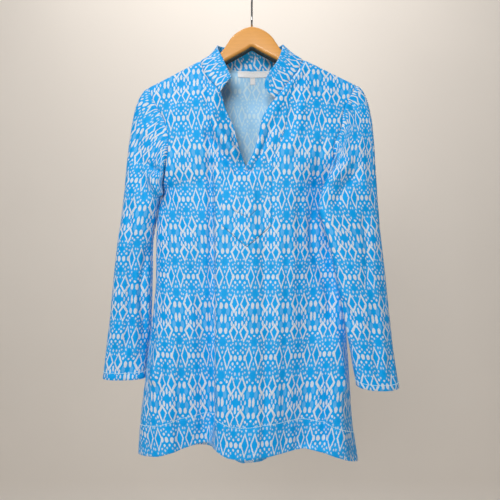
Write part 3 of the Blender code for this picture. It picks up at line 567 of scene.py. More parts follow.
def panel_halves(name):
    """The two halves of the front or the back."""
    low, back = np.array(LOWER_ROWS), np.array(BACK_ROWS)
    if name == "front":
        way, middle, folds, hem = -1.0, low[:, 5:8], FRONT_FOLDS, FRONT_HEM
        uppers = [np.array(FRONT_LEFT_ROWS), np.array(FRONT_RIGHT_ROWS)]
    else:
        way, middle, folds, hem = 1.0, low[:, 8:11], BACK_FOLDS, BACK_HEM
        uppers = [back[:, columns] for columns in BACK_COLUMNS.values()]
        uppers[1][uppers[1][:, 4] < BACK_MIDDLE, 4] *= -1.0
    side = np.full((len(low), 1), way * SEAM_HALF)
    lowers = [np.hstack([low[:, :1], low[:, k : k + 1], side, low[:, k + 1 : k + 2], middle]) for k in (1, 3)]
    return [half_panel(upper, lower, folds, -way, hem) for upper, lower in zip(uppers, lowers)]


def cloth_places(grid, sign):
    """How far each point of a half panel is across the cloth from the inner edge, and how far down it."""
    out = run_back(gaps(grid[:, :, :2], 1), 1) * sign
    step = np.diff(grid, axis=0)
    deep = run_of(np.hypot(step[:, :, 2], step[:, :, 1]) * np.sign(step[:, :, 2]), 0)
    still = SLIT_ROW * ROW_CUTS
    return out, deep - deep[still] + grid[still, :, 2]


def print_map(name, side, grid):
    """The print's place at each point of a half of the front or the back, in repeats."""
    out, deep = cloth_places(grid, SIGN[side])
    inner = grid[:, -1]
    if name == "front":
        across = out + read(FRONT_MIDDLE, inner[:, 2:])
        upper = inner[:, 2] < FRONT_MIDDLE[0][0]
        across[upper] += inner[upper, :1] - inner[SLIT_ROW * ROW_CUTS, 0]
        if side == "left":
            hidden = soft_step((TUCK_X + TUCK_HALF - grid[:, :, 0]) / (2.0 * TUCK_HALF))
            across -= hidden * read(LEFT_TUCK, grid[:, :, 2])
    else:
        across = out + np.abs(inner[:, :1]) * SIGN[side]
        deep = deep + BACK_PRINT_DROP
    return np.stack([across / scene_sizes().repeat_wide, read(PRINT_ROWS, deep)], axis=2)


def crease_push(creases, x, down):
    """How far the creases push each point into the garment."""
    total = np.zeros_like(x)
    for line, half, first, last in creases:
        line = np.array(line, float)
        length = run_of(gaps(line), 0)
        nearest = np.full(x.shape, np.inf)
        share = np.zeros_like(x)
        for k, (start, step) in enumerate(zip(line, np.diff(line, axis=0))):
            part = ((x - start[0]) * step[0] + (down - start[1]) * step[1]) / (step @ step)
            part = np.clip(part, 0.0, 1.0)
            gap = np.hypot(x - start[0] - step[0] * part, down - start[1] - step[1] * part)
            closer = gap < nearest
            nearest = np.where(closer, gap, nearest)
            share = np.where(closer, (length[k] + part * (length[k + 1] - length[k])) / length[-1], share)
        fade = soft_step(share / 0.18) * soft_step((1.0 - share) / 0.14 + 0.25)
        total += (first + (last - first) * share) * fade * bell(nearest, half)
    return total


def unevenness(x, down, phase):
    """The slight unevenness of hanging jersey."""
    slow = np.sin(x / 17.0 + phase + 1.3 * np.sin(down / 71.0)) * np.sin(down / 47.0 + 2.0 * phase)
    quick = np.sin(x / 7.3 + down / 31.0 + phase) * np.sin(down / 13.0 - x / 29.0)
    return 0.5 * slow + 0.14 * quick


def edge_dip(distance):
    """How far the cloth sinks at a seam, for a distance from it."""
    return SEAM_DIP * bell(distance, SEAM_SOFT)


def cell_corners(rows, columns):
    """The four corners of each cell of a grid, as row numbers and column numbers."""
    i, j = np.meshgrid(np.arange(rows - 1), np.arange(columns - 1), indexing="ij")
    corners = [(i, j), (i, j + 1), (i + 1, j + 1), (i + 1, j)]
    corners = np.stack([np.stack(c, axis=-1).reshape(-1, 2) for c in corners], axis=1)
    return corners[:, :, 0], corners[:, :, 1]


def point_normals(points, faces):
    """The surface's direction at each point."""
    a, b, c, d = (points[faces[:, k]] for k in range(4))
    across = np.cross(c - a, d - b)
    normals = np.zeros_like(points)
    for k in range(4):
        np.add.at(normals, faces[:, k], across)
    return unit(normals)


class Surface:
    """A cloth surface before it gets its thickness: points, faces and the print's place at each corner."""

    turned = None

    def __init__(self, points, faces, corner_map, facing):
        self.points = points
        self.faces = faces
        self.corner_map = corner_map
        normals = point_normals(points, faces)
        if (normals * facing).sum() < 0:
            self.faces = faces[:, ::-1]
            self.corner_map = corner_map[:, ::-1]
            normals = -normals
        self.normals = normals

    def push(self, inwards):
        """Moves the points against their normals, then works the normals out again."""
        self.points = self.points - self.normals * inwards[:, None]
        self.normals = point_normals(self.points, self.faces)

    def area(self):
        """The surface's area in square metres."""
        a, b, c, d = (self.points[self.faces[:, k]] for k in range(4))
        return np.linalg.norm(np.cross(c - a, d - b), axis=1).sum() / 2.0 * MM * MM


def grid_surface(grid, places, facing, closed=False):
    """A surface from rows of points, which may close on themselves, and the print's place at each."""
    numbers = np.arange(grid.shape[0] * grid.shape[1]).reshape(grid.shape[:2])
    if closed:
        numbers = np.concatenate([numbers, numbers[:, :1]], axis=1)
    at = cell_corners(*numbers.shape)
    return Surface(grid.reshape(-1, 3), numbers[at], np.asarray(places)[at], np.array(facing))


def wall(surface, thick):
    """A closed shell round a surface, with rolled edges: points, faces, map and finish of each face."""
    points, faces, normals = surface.points, surface.faces, surface.normals
    count = len(points)
    edges = np.concatenate([faces[:, [k, (k + 1) % 4]] for k in range(4)])
    places = np.tile(np.arange(len(faces)), 4)
    corners = np.repeat(np.arange(4), len(faces))
    key = np.sort(edges, axis=1)
    pairs = key[:, 0].astype(np.int64) * count + key[:, 1]
    _, first, uses = np.unique(pairs, return_index=True, return_counts=True)
    rim = first[uses == 1]
    a, b = edges[rim, 0], edges[rim, 1]
    away = np.zeros_like(points)
    side = np.cross(points[b] - points[a], normals[a] + normals[b])
    np.add.at(away, a, side)
    np.add.at(away, b, side)
    ring = np.unique(np.concatenate([a, b]))
    number = np.zeros(count, int)
    number[ring] = np.arange(len(ring)) + 2 * count
    rolled = points[ring] + unit(away[ring]) * thick * 0.45
    all_points = np.concatenate([points + normals * thick / 2.0, points - normals * thick / 2.0, rolled])
    outer_rim = np.stack([b, a, number[a], number[b]], axis=1)
    inner_rim = np.stack([number[b], number[a], a + count, b + count], axis=1)
    all_faces = np.concatenate([faces, faces[:, ::-1] + count, outer_rim, inner_rim])
    at_a = surface.corner_map[places[rim], corners[rim]]
    at_b = surface.corner_map[places[rim], (corners[rim] + 1) % 4]
    rim_map = np.stack([at_b, at_a, at_a, at_b], axis=1)
    all_map = np.concatenate([surface.corner_map, surface.corner_map[:, ::-1], rim_map, rim_map])
    finish = np.zeros(len(all_faces), int)
    finish[len(faces) : 2 * len(faces)] = 1 if surface.turned is None else ~surface.turned
    return all_points, all_faces, all_map, finish


def to_metres(points):
    """Millimetres with down to metres with up."""
    return np.asarray(points, float) * np.array([MM, MM, -MM])


def add_object(name, data):
    """A new object in the scene."""
    made = bpy.data.objects.new(name, data)
    bpy.context.scene.collection.objects.link(made)
    return made


def make_object(name, points, faces, looks, finish=None, corner_map=None):
    """A smooth mesh object in the frame's metres. Turning down into up turns the faces over, so they're flipped."""
    mesh = bpy.data.meshes.new(name)
    mesh.from_pydata(to_metres(points).tolist(), [], [tuple(int(v) for v in face)[::-1] for face in faces])
    for look in looks:
        mesh.materials.append(look)
    if finish is not None:
        mesh.polygons.foreach_set("material_index", np.asarray(finish, np.int32))
    if corner_map is not None:
        layer = mesh.uv_layers.new(name="cloth")
        layer.data.foreach_set("uv", corner_map[:, ::-1].reshape(-1).astype(np.float32))
    mesh.shade_smooth()
    mesh.update()
    return add_object(name, mesh)


def on_body(made, slot, *nodes):
    """Sets a piece on the body and hides the solids of the nodes that it stands for. The slot is not used."""
    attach(made, BODY)
    if nodes:
        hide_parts(*nodes)
    return made


def cloth_piece(name, surface, thick, looks, slot, node):
    """Makes a cloth shell that stands for a node."""
    points, faces, corner_map, finish = wall(surface, thick)
    return on_body(make_object(name, points, faces, looks, finish, corner_map), slot, node)


def panel_surface(halves, maps, first_shared, facing):
    """One surface from the two halves of a panel, which share their inner column from one row down."""
    rows, columns = halves[0].shape[:2]
    numbers = np.arange(rows * columns).reshape(rows, columns)
    other = numbers + rows * columns
    other[first_shared:, -1] = numbers[first_shared:, -1]
    at = cell_corners(rows, columns)
    faces = np.concatenate([numbers[at], other[at][:, ::-1]])
    corner_map = np.concatenate([maps[0][at], maps[1][at][:, ::-1]])
    points = np.concatenate([half.reshape(-1, 3) for half in halves])
    used, packed = np.unique(faces, return_inverse=True)
    return Surface(points[used], packed.reshape(faces.shape), corner_map, facing), used


def half_edges(grid, neck_end):
    """Each point's distance from the nearest seam of a half panel, and from the slit's edge."""
    from_inner = run_back(gaps(grid, 1), 1)
    seam = np.minimum(run_of(gaps(grid, 1), 1), run_of(gaps(grid), 0))
    rows = np.arange(len(grid))[:, None]
    neck = rows <= neck_end * ROW_CUTS
    slit = ~neck & (rows < SLIT_ROW * ROW_CUTS)
    seam = np.where(neck, np.minimum(seam, from_inner * 0.7), seam)
    return seam, np.where(slit, from_inner, np.inf)


def slit_push(distance, side):
    """How the slit's edges lie: the left one turns in, the right one rolls out."""
    if side == "left":
        return SLIT_TURN * bell(distance, SLIT_TURN_WIDE)
    return -SLIT_ROLL * bell(distance - SLIT_ROLL_WIDE, SLIT_ROLL_WIDE)


def turn_up_push(height, turn, x):
    """The line that the stitching presses into a turned-up edge, and the small puckers under it."""
    groove = 0.7 * bell(height - turn, 2.2)
    pucker = np.sin(x / 3.1 + 1.5 * np.sin(x / 19.0)) * np.exp(-np.abs(height - turn) / 9.0)
    full = -0.35 * soft_step((turn - height) / 3.0)
    return groove + 0.22 * pucker + full


def dense_panels():
    """The front's and the back's surfaces, with the halves that the other pieces are made from."""
    panels = (
        ("front", -1.0, SLIT_ROW, (LEFT_COLLAR_END, RIGHT_SLIT_START), FRONT_CREASES, 0.4),
        ("back", 1.0, NECK_CENTRE_ROW, (NECK_CENTRE_ROW, NECK_CENTRE_ROW), BACK_CREASES, 2.1),
    )
    halves, surfaces = {}, {}
    for name, way, shared, neck_ends, creases, phase in panels:
        halves[name] = panel_halves(name)
        maps = [print_map(name, side, half) for side, half in zip(SIGN, halves[name])]
        surface, used = panel_surface(halves[name], maps, shared * ROW_CUTS, np.array([0.0, way, 0.0]))
        seams, rolls, heights = [], [], []
        for side, half, neck_end in zip(SIGN, halves[name], neck_ends):
            seam, slit = half_edges(half, neck_end)
            seams.append(seam.ravel())
            rolls.append(slit_push(slit, side).ravel() * (name == "front"))
            heights.append(run_back(gaps(half), 0).ravel())
        seam, roll, height = (np.concatenate(values)[used] for values in (seams, rolls, heights))
        x, down = surface.points[:, 0], surface.points[:, 2]
        calm = soft_step((seam - 1.0) / 14.0)
        push = crease_push(creases, x, down) * BODY_CREASES * calm
        push += unevenness(x, down, phase) * 1.3 * calm
        push += edge_dip(seam) + roll + turn_up_push(height, HEM_TURN, x)
        surface.push(push)
        surface.height, surface.used = height, used
        surface.turned = height[surface.faces].max(axis=1) < HEM_TURN
        surfaces[name] = surface
    return halves, surfaces


def armhole(front, back):
    """The armhole's edge from the underarm up the front and down the back, with the way on and the way out."""
    last = len(front) - 1
    loop, next_in = (np.concatenate([front[::-1, k], back[1:, k]]) for k in (0, 1))
    length = run_of(gaps(loop), 0)
    ahead = unit(np.gradient(loop, axis=0))
    onward = unit(loop - next_in)
    outward = unit(np.cross(ahead, onward))
    outward *= np.sign((outward * loop * (1.0, 2.0, 0.0)).sum(axis=1, keepdims=True))
    square = unit(np.cross(outward, ahead))
    square *= np.sign((square * onward).sum(axis=1, keepdims=True))
    for _ in range(RING_CUTS * RING_CUTS):
        for vectors in (square, outward):
            vectors[1:-1] = unit(vectors[:-2] + 2.0 * vectors[1:-1] + vectors[2:])
    return loop, length, length[last], square, outward


def ring_points(section, angles):
    """Points of a sleeve section, which is a flattened ring."""
    down, x, y, wide, deep, turn, slant, dip = section
    cosine, sine = np.cos(angles), np.sin(angles)
    across = wide * np.sign(cosine) * np.abs(cosine) ** 0.9
    depth = deep * np.sign(sine) * np.abs(sine) ** 0.9
    turned = math.radians(turn)
    return np.stack(
        [
            x + across * math.cos(turned) - depth * math.sin(turned),
            y + across * math.sin(turned) + depth * math.cos(turned),
            down + slant * across / wide - dip * depth / deep,
        ],
        axis=1,
    )


def edge_rows(upper):
    """The outer edge of an upper half at the sleeve's own row cuts, with a place just inside it."""
    upper = np.array(upper)
    rows = through(upper[:, 1:], places_of(upper[:, 0], RING_CUTS))[: (len(upper) - 1) * RING_CUTS + 1]
    edge = rows[:, :3]
    return np.stack([edge, edge + (rows[:, 3:] - edge) * 0.02], axis=1)


def sleeve_grid(side, table, front, back):
    """Rows of points round a sleeve, from the armhole to the cuff."""
    loop, length, half, onward, outward = armhole(front, back)
    sections = np.array(table)
    rings = through(sections[:, 1:], places_of(sections[:, 0], SLEEVE_CUTS))
    around = len(loop) - 1
    at = length[:-1]
    run = np.where(at <= half, 0.5 * at / half, 0.5 + 0.5 * (at - half) / (length[-1] - half))
    share = EVEN_SHARE * np.arange(around) / around + (1.0 - EVEN_SHARE) * run
    under = np.clip((np.cos(2.0 * math.pi * run) - 0.1) / 0.7, 0.0, 1.0)[:, None]
    place, on, out = loop[:-1].copy(), onward[:-1].copy(), outward[:-1].copy()
    place[0] = (loop[0] + loop[-1]) / 2.0
    on[0], out[0] = (0.0, 0.0, -1.0), (SIGN[side], 0.0, 0.0)
    starts = place + unit(on) * (ARMHOLE_GAP + UNDERARM_GAP * under)
    leaves = unit(unit(on) * (1.0 - under) + unit(out) * under + np.array([0.0, 0.0, UNDERARM_DROP]) * under)
    lean = SLEEVE_TWIST[side] * (1.0 + np.cos(2.0 * math.pi * share)) / 2.0
    angles = np.radians(360.0 - 360.0 * share + lean if side == "left" else 180.0 + 360.0 * share + lean)
    end = ring_points(rings[0], angles)
    arrive = unit(ring_points(rings[SLEEVE_CUTS], angles) - end)
    reach = np.linalg.norm(end - starts, axis=1, keepdims=True)
    leave, arrive = leaves * reach * CAP_START, arrive * reach * CAP_END
    grid = [starts - unit(on) * 3.4 - unit(out) * 1.5]
    steps = CAP_STEPS * SLEEVE_CUTS
    grid += [cubic(i / steps, starts, leave, end, arrive) for i in range(steps)]
    grid += [ring_points(ring, angles) for ring in rings]
    return np.array(grid)


def sleeve_surface(side, table, front_rows, creases, back_creases):
    """A sleeve's surface, with its seams pressed in and its creases."""
    back_rows = np.array(BACK_ROWS)[:, BACK_COLUMNS[side]]
    grid = sleeve_grid(side, table, edge_rows(front_rows), edge_rows(back_rows))
    rows, columns = grid.shape[:2]
    loop = np.concatenate([grid, grid[:, :1]], axis=1)
    around = run_of(gaps(loop, 1), 1)
    middle = int(np.argmin(grid[-1, :, 1]))
    across = around - around[:, middle : middle + 1]
    deep = run_of(gaps(loop), 0)
    level = CAP_STEPS * SLEEVE_CUTS + 1
    deep = deep - deep[level] + loop[level, :, 2]
    shift_u, shift_v = SLEEVE_PRINT[side]
    sizes = scene_sizes()
    places = np.stack(
        [(across * SIGN[side] + shift_u) / sizes.repeat_wide, (deep - shift_v) / sizes.repeat_high], axis=2
    )
    points = grid.reshape(-1, 3)
    surface = grid_surface(grid, places, points - np.repeat(grid.mean(axis=1), columns, axis=0), closed=True)
    height = run_back(gaps(grid), 0).ravel()
    from_armhole = run_of(gaps(grid), 0).ravel()
    from_seam = np.minimum(around[:, :-1], around[:, -1:] - around[:, :-1]).ravel()
    x, down = points[:, 0], points[:, 2]
    calm = soft_step((from_armhole - 2.0) / 12.0)
    frontwards, backwards = (soft_step(way * surface.normals[:, 1] * 2.0) for way in (-1.0, 1.0))
    push = crease_push(creases, x, down) * frontwards + crease_push(back_creases, x, down) * backwards
    push = (push * SLEEVE_CREASES + unevenness(x + points[:, 1], down, 3.3)) * calm
    push += edge_dip(from_armhole) + 0.7 * edge_dip(from_seam)
    push += turn_up_push(height, CUFF_TURN[side], x + points[:, 1])
    surface.push(push)
    surface.height, surface.grid_shape = height, (rows, columns)
    top = from_armhole[surface.faces].max(axis=1) < TURNED_TOP
    surface.turned = top | (height[surface.faces].max(axis=1) < CUFF_TURN[side])
    return surface


def neck_seam(halves):
    """The back neck's edge from left to right, without its ends."""
    left, right = halves["back"]
    middle = NECK_CENTRE_ROW * ROW_CUTS
    return np.concatenate([left[1 : middle + 1, -1], right[1:middle, -1][::-1]])


def collar_surface(halves):
    """The collar band's surface, from the neck seam to its upper edge."""
    left, right = halves["front"]
    left_end, right_end = (end * ROW_CUTS + 1 for end in (LEFT_COLLAR_END, RIGHT_COLLAR_END))
    seam = np.concatenate([left[:left_end, -1][::-1], neck_seam(halves), right[:right_end, -1]])
    length = run_of(gaps(seam), 0)
    share = length / length[-1]
    top = np.array(COLLAR_TOP)
    edge = through(top[:, 1:], np.interp(share, top[:, 0], np.arange(len(top))))
    rise = unit(edge - seam)
    tucked = soft_step((share - 0.78) / 0.18)
    rounded = soft_step((share - 0.86) / 0.14)
    raised = soft_step((0.24 - share) / 0.1)
    grid = []
    for part in np.linspace(0.0, 1.0, COLLAR_ROWS + 1):
        line = (seam + rise * NECK_GAP) * (1.0 - part) + edge * part
        bow = math.sin(math.pi * part)
        line[:, 0] -= 11.0 * rounded * bow
        line[:, 1] += (6.0 * tucked - 3.5 * raised) * (1.0 - part)
        grid.append(line + unit((line - COLLAR_MIDDLE) * (1.0, 1.0, 0.0)) * COLLAR_BOW * bow)
    grid = np.array(grid)
    high = run_of(gaps(grid), 0)
    across = np.broadcast_to((length - length[-1] / 2.0 + 42.0) / scene_sizes().repeat_wide, high.shape)
    places = np.stack([across, 0.35 - (high - 10.0) / scene_sizes().repeat_high], axis=2)
    surface = grid_surface(grid, places, (grid.reshape(-1, 3) - COLLAR_MIDDLE) * (1.0, 1.0, 0.0))
    push = edge_dip(high * 1.2) + 0.35 * np.sin(length / 11.0) * np.sin(high / 9.0)
    push += 0.5 * bell(high.max(axis=0) - high - 4.5, 1.4)
    surface.push(push.ravel())
    return surface, length[-1], high.max()


def tree_of(surface):
    """A search tree of a surface, for laying pieces on it."""
    return BVHTree.FromPolygons(surface.points.tolist(), surface.faces.tolist())


def laid_on(tree, x, down, off, start=-300.0):
    """The cloth's place behind a start at x and down, moved off it towards the front."""
    place, normal, _, _ = tree.ray_cast(Vector((x, start, down)), Vector((0.0, 1.0, 0.0)))
    if place is None:
        raise RuntimeError("no cloth at x %.1f and %.1f down" % (x, down))
    return np.array(place + (-normal if normal.y > 0 else normal) * off)


def placket_mark(x, down):
    """The print's place on the placket pieces."""
    sizes = scene_sizes()
    return (x - PLACKET_PRINT[0]) / sizes.repeat_wide, (down - PLACKET_PRINT[1]) / sizes.repeat_high


def leg_surface(side, half, tree, off):
    """The strip of the placket piece along one side of the slit, from the collar seam down."""
    sign = SIGN[side]
    grid, places = [], []
    for inner_x, _, down in half[2 * ROW_CUTS : SLIT_ROW * ROW_CUTS + 3, -1]:
        outer_x = float(read(PLACKET_LEGS[side], down))
        inner_x += 0.6 * sign
        if (outer_x - inner_x) * sign < 2.0:
            continue
        under = 0.4 * soft_step((down - 368.0) / 4.0)
        lean = PLACKET_LEAN[side] * (PLACKET_PRINT[1] - down)
        across = outer_x + (inner_x - outer_x) * np.linspace(0.0, 1.0, 25)
        grid.append([laid_on(tree, x, down, off - under) for x in across])
        places.append([placket_mark(x - lean, down) for x in across])
    return grid_surface(np.array(grid), places, (0.0, -1.0, 0.0))


def together(surfaces):
    """Several surfaces as one piece."""
    starts = np.cumsum([0] + [len(surface.points) for surface in surfaces])
    faces = np.concatenate([surface.faces + start for surface, start in zip(surfaces, starts)])
    points, maps, normals = (
        np.concatenate([getattr(surface, part) for surface in surfaces])
        for part in ("points", "corner_map", "normals")
    )
    return Surface(points, faces, maps, normals)


def lower_edge(piece, x):
    """How far down a pointed piece ends at x."""
    left, middle, right = piece["left"], piece["middle"], piece["right"]
    reach = np.where(x < middle, (x - left) / (middle - left), (right - x) / (right - middle))
    return piece["side"] + (piece["point"] - piece["side"]) * reach


def pointed_surface(piece, tree, off):
    """A pointed placket piece, laid on the front, with its edges turned under."""
    columns, rows = (np.linspace(0.0, 1.0, cells + 1) for cells in PLACKET_CELLS)
    across = piece["left"] + (piece["right"] - piece["left"]) * columns
    downs = piece["top"] + (lower_edge(piece, across) - piece["top"]) * rows[:, None]
    grid = [[laid_on(tree, x, down, off) for x, down in zip(across, row)] for row in downs]
    places = [[placket_mark(x, down) for x, down in zip(across, row)] for row in downs]
    surface = grid_surface(np.array(grid), places, (0.0, -1.0, 0.0))
    x, down = surface.points[:, 0], surface.points[:, 2]
    side = np.minimum(x - piece["left"], piece["right"] - x)
    end = np.minimum((lower_edge(piece, x) - down) * 0.8, down - piece["top"])
    edge = np.minimum(side, end)
    surface.push(0.4 * bell(edge, 2.0) - 0.2 * soft_step(edge / 6.0))
    return surface


def label_surface(piece, tree, seam, off):
    """A label that hangs from the neck seam on the inside of the back."""
    left, right, start, end = piece
    columns = np.linspace(left, right, 25)
    rows = np.linspace(0.0, 1.0, 9)
    tops = np.interp(columns, seam[:, 0], seam[:, 2]) + start
    grid = [
        [laid_on(tree, x, top + (end - start) * part, off + 0.9 * part * part, INSIDE) for x, top in zip(columns, tops)]
        for part in rows
    ]
    places = np.stack(np.meshgrid(columns / 100.0, rows * (end - start) / 100.0), axis=2)
    return grid_surface(np.array(grid), places, (0.0, -1.0, 0.0))


def stitches(line, normals, pitch, long, thick):
    """Short threads along a line on the cloth: each dips into the cloth at its ends."""
    length = run_of(gaps(line), 0)
    count = int(length[-1] / pitch)
    sides, rings = 6, 5
    points, faces = [], []
    for s in range(count):
        middle = (s + 0.5) * length[-1] / count
        at = middle + np.linspace(-0.5, 0.5, rings) * long
        path, up = (np.stack([np.interp(at, length, v[:, k]) for k in range(3)], axis=1) for v in (line, normals))
        up = unit(up)
        bend = 1.0 - (2.0 * np.abs(at - middle) / long) ** 2
        path = path + up * (bend * thick * 1.5 - thick * 0.5)[:, None]
        right = unit(np.cross(unit(np.gradient(path, axis=0)), up))
        size = thick * (0.55 + 0.45 * np.sqrt(np.maximum(bend, 0.0)))
        thread = [
            [
                path[r] + right[r] * size[r] * math.cos(angle) + up[r] * size[r] * math.sin(angle)
                for angle in 2.0 * math.pi * np.arange(sides) / sides
            ]
            for r in range(rings)
        ]
        corners, sewn = loft(thread)
        faces += [tuple(len(points) + k for k in face) for face in sewn]
        points += corners
    return points, faces


def level_line(surface, numbers, turn):
    """Points and normals where the cloth is a given distance above its lower edge, column by column."""
    line, ups = (
        np.array([[np.interp(-turn, -surface.height[c], v[c][:, k]) for k in range(3)] for c in numbers.T])
        for v in (surface.points, surface.normals)
    )
    return line, unit(ups)


def bar_rows(outline, fine):
    """Finer rows of an outline, mirrored to the left and tilted as the bar is."""
    rows = np.array([(-x, *rest) for x, *rest in outline[:0:-1]] + list(outline))
    rows[:, 1:] -= rows[:, :1] * BAR_TILT
    return through(rows, np.linspace(0, len(rows) - 1, (len(rows) - 1) * fine + 1))


def bar_rings(fine):
    """Rings of the wooden bar from its left tip to its right tip, rounded along its edges."""
    half = BAR_THICK / 2.0
    rings = []
    for x, top, bottom in bar_rows(BAR_OUTLINE, fine):
        bend = min(BAR_ROUND, half, (bottom - top) / 2.0 - 0.1)
        ring = []
        front, back, high, low = half - bend, bend - half, top + bend, bottom - bend
        for turn, (y, down) in enumerate(((front, high), (front, low), (back, low), (back, high))):
            for angle in np.radians(90.0 * turn + np.linspace(0.0, 90.0, 8)):
                ring.append((x, y + bend * math.sin(angle), down - bend * math.cos(angle)))
        rings.append(ring[::-1])
    return rings


def strip_rings(fine):
    """Rings of the dark strip along the underside of the bar."""
    half = STRIP_WIDE / 2.0
    rings = []
    for x, bottom in bar_rows([(x, bottom) for x, _, bottom in BAR_OUTLINE], fine):
        if abs(x) <= STRIP_REACH:
            top, low = bottom + LAYER_GAP, bottom + LAYER_GAP + STRIP_HIGH
            ring = [(x, half, top), (x, half, low - 0.8), (x, half - 0.8, low), (x, 0.8 - half, low)]
            rings.append([(x, -half, top), (x, -half, low - 0.8), *ring[::-1]])
    return rings


def hook_rings():
    """Rings of the hook's wire, up the stem and over the bend, with a rounded tip."""
    centre = BEND_RADIUS - WIRE / 2.0
    line = [(0.0, BAR_OUTLINE[0][1] - 0.3), (0.0, 70.0), (0.0, STEM_TOP + 8.0), (0.0, STEM_TOP)]
    start, side = np.array([0.0, STEM_TOP]), np.array([BEND_RADIUS, centre])
    pull = np.array([0.0, -3.0 * BEND_PULL * (STEM_TOP - centre)])
    line += [cubic(part, start, pull, side, pull) for part in np.linspace(0.0, 1.0, 25)[1:]]
    for angle in np.radians(np.linspace(0.0, TIP_ANGLE, 49)[1:]):
        line.append((BEND_RADIUS * math.cos(angle), centre - BEND_RADIUS * math.sin(angle)))
    line = np.array(line)
    ahead = unit(np.gradient(line, axis=0))
    rings = [wire_ring(place, go, WIRE / 2.0) for place, go in zip(line, ahead)]
    for angle in np.radians((20.0, 40.0, 60.0, 78.0)):
        place = line[-1] + ahead[-1] * math.sin(angle) * 0.6 * WIRE
        rings.append(wire_ring(place, ahead[-1], math.cos(angle) * WIRE / 2.0))
    return rings


def wire_ring(place, go, radius):
    """A ring of the wire square to its direction."""
    ring = []
    for k in range(WIRE_SIDES):
        angle = 2.0 * math.pi * k / WIRE_SIDES
        side, depth = radius * math.cos(angle), radius * math.sin(angle)
        ring.append((place[0] - go[1] * side, depth, place[1] + go[0] * side))
    return ring


def loft(rings):
    """A closed solid through rings of points, with flat ends."""
    count = len(rings[0])
    faces = []
    for i in range(len(rings) - 1):
        for j in range(count):
            a, b = i * count + j, i * count + (j + 1) % count
            faces.append((a + count, b + count, b, a))
    last = (len(rings) - 1) * count
    faces += [tuple(range(count)), tuple(reversed(range(last, last + count)))]
    return [place for ring in rings for place in ring], faces


class Wiring:
    """Adds nodes to a tree and joins them, so a formula reads as nested calls."""

    def __init__(self, tree):
        self.tree = tree
        self.count = 0

    def give(self, socket, value):
        """Sets a socket to a number, or joins another node's output to it."""
        if isinstance(value, bpy.types.NodeSocket):
            self.tree.links.new(value, socket)
        else:
            socket.default_value = value

    def fill(self, node, given):
        """Gives a node's sockets their values, by name or number."""
        for socket, value in dict(given).items():
            self.give(node.inputs[socket], value)

    def add(self, kind, given=(), **settings):
        """A new node with its settings and its sockets' values, in the next free place."""
        node = self.tree.nodes.new(kind)
        node.location = (220 * (self.count // 12) - 4200, -190 * (self.count % 12))
        self.count += 1
        for name, value in settings.items():
            setattr(node, name, value)
        self.fill(node, given)
        return node

    def sum(self, operation, *values):
        """One number worked out from others."""
        return self.add("ShaderNodeMath", enumerate(values), operation=operation).outputs[0]

    def vector(self, operation, *values, result="Vector"):
        """One vector, or its number, worked out from others."""
        return self.add("ShaderNodeVectorMath", enumerate(values), operation=operation).outputs[result]

    def parts(self, place):
        """A vector's three numbers."""
        return self.add("ShaderNodeSeparateXYZ", {0: place}).outputs

    def blend(self, share, first, second):
        """One colour on another."""
        return self.add("ShaderNodeMix", {0: share, 6: first, 7: second}, data_type="RGBA").outputs[2]

    def ramp(self, value, low, high, start=0.0, end=1.0):
        """A smooth change from one value to another."""
        given = enumerate((value, low, high, start, end))
        return self.add("ShaderNodeMapRange", given, interpolation_type="SMOOTHSTEP").outputs[0]

    def noise(self, place, scale, detail=2.0, rough=0.5):
        """Soft noise at a place."""
        given = {"Vector": place, "Scale": scale, "Detail": detail, "Roughness": rough}
        return self.add("ShaderNodeTexNoise", given).outputs["Fac"]

    def wave(self, place, scale, distortion=0.0, **settings):
        """Bands across a place."""
        given = {"Vector": place, "Scale": scale, "Distortion": distortion}
        return self.add("ShaderNodeTexWave", given, **settings)

    def bump(self, height, strength, distance):
        """The direction of a surface with fine relief."""
        given = {"Strength": strength, "Distance": distance, "Height": height}
        return self.add("ShaderNodeBump", given).outputs[0]

    def on_cloth(self):
        """The place on the cut cloth."""
        return self.add("ShaderNodeUVMap", uv_map="cloth").outputs[0]

    def in_frame(self):
        """The place in the frame."""
        return self.add("ShaderNodeNewGeometry").outputs["Position"]


def rgba(colour):
    """A colour with full cover."""
    return (*colour, 1.0)


def new_material(name):
    """An empty material with its shader and the wiring to feed it."""
    made = bpy.data.materials.new(name)
    made.use_nodes = True
    shader = made.node_tree.nodes["Principled BSDF"]
    return made, shader, Wiring(made.node_tree)


def seed_value(wiring, place, seed):
    """Below 1 inside an oval, above 1 outside it."""
    x, y, wide, high = seed
    scaled = wiring.vector("MULTIPLY_ADD", place, (1.0 / wide, 1.0 / high, 0.0), (-x / wide, -y / high, 0.0))
    return wiring.vector("LENGTH", scaled, result="Value")


def kite_value(wiring, place, kite):
    """Below 1 inside a kite, above 1 outside it."""
    x, y, wide, above, below = kite
    scaled = wiring.vector("MULTIPLY_ADD", place, (1.0 / wide, 1.0, 0.0), (-x / wide, -y, 0.0))
    across, down, _ = wiring.parts(scaled)
    aside = wiring.sum("ABSOLUTE", across)
    low = wiring.sum("MULTIPLY_ADD", down, 1.0 / below, aside)
    high = wiring.sum("MULTIPLY_ADD", down, -1.0 / above, aside)
    edge = wiring.sum("MAXIMUM", low, high)
    return wiring.sum("MULTIPLY_ADD", edge, wide / EDGE_SOFT, 1.0 - wide / EDGE_SOFT)


def nearest(wiring, values):
    """The smallest of several numbers."""
    return functools.reduce(lambda found, value: wiring.sum("MINIMUM", found, value), values)


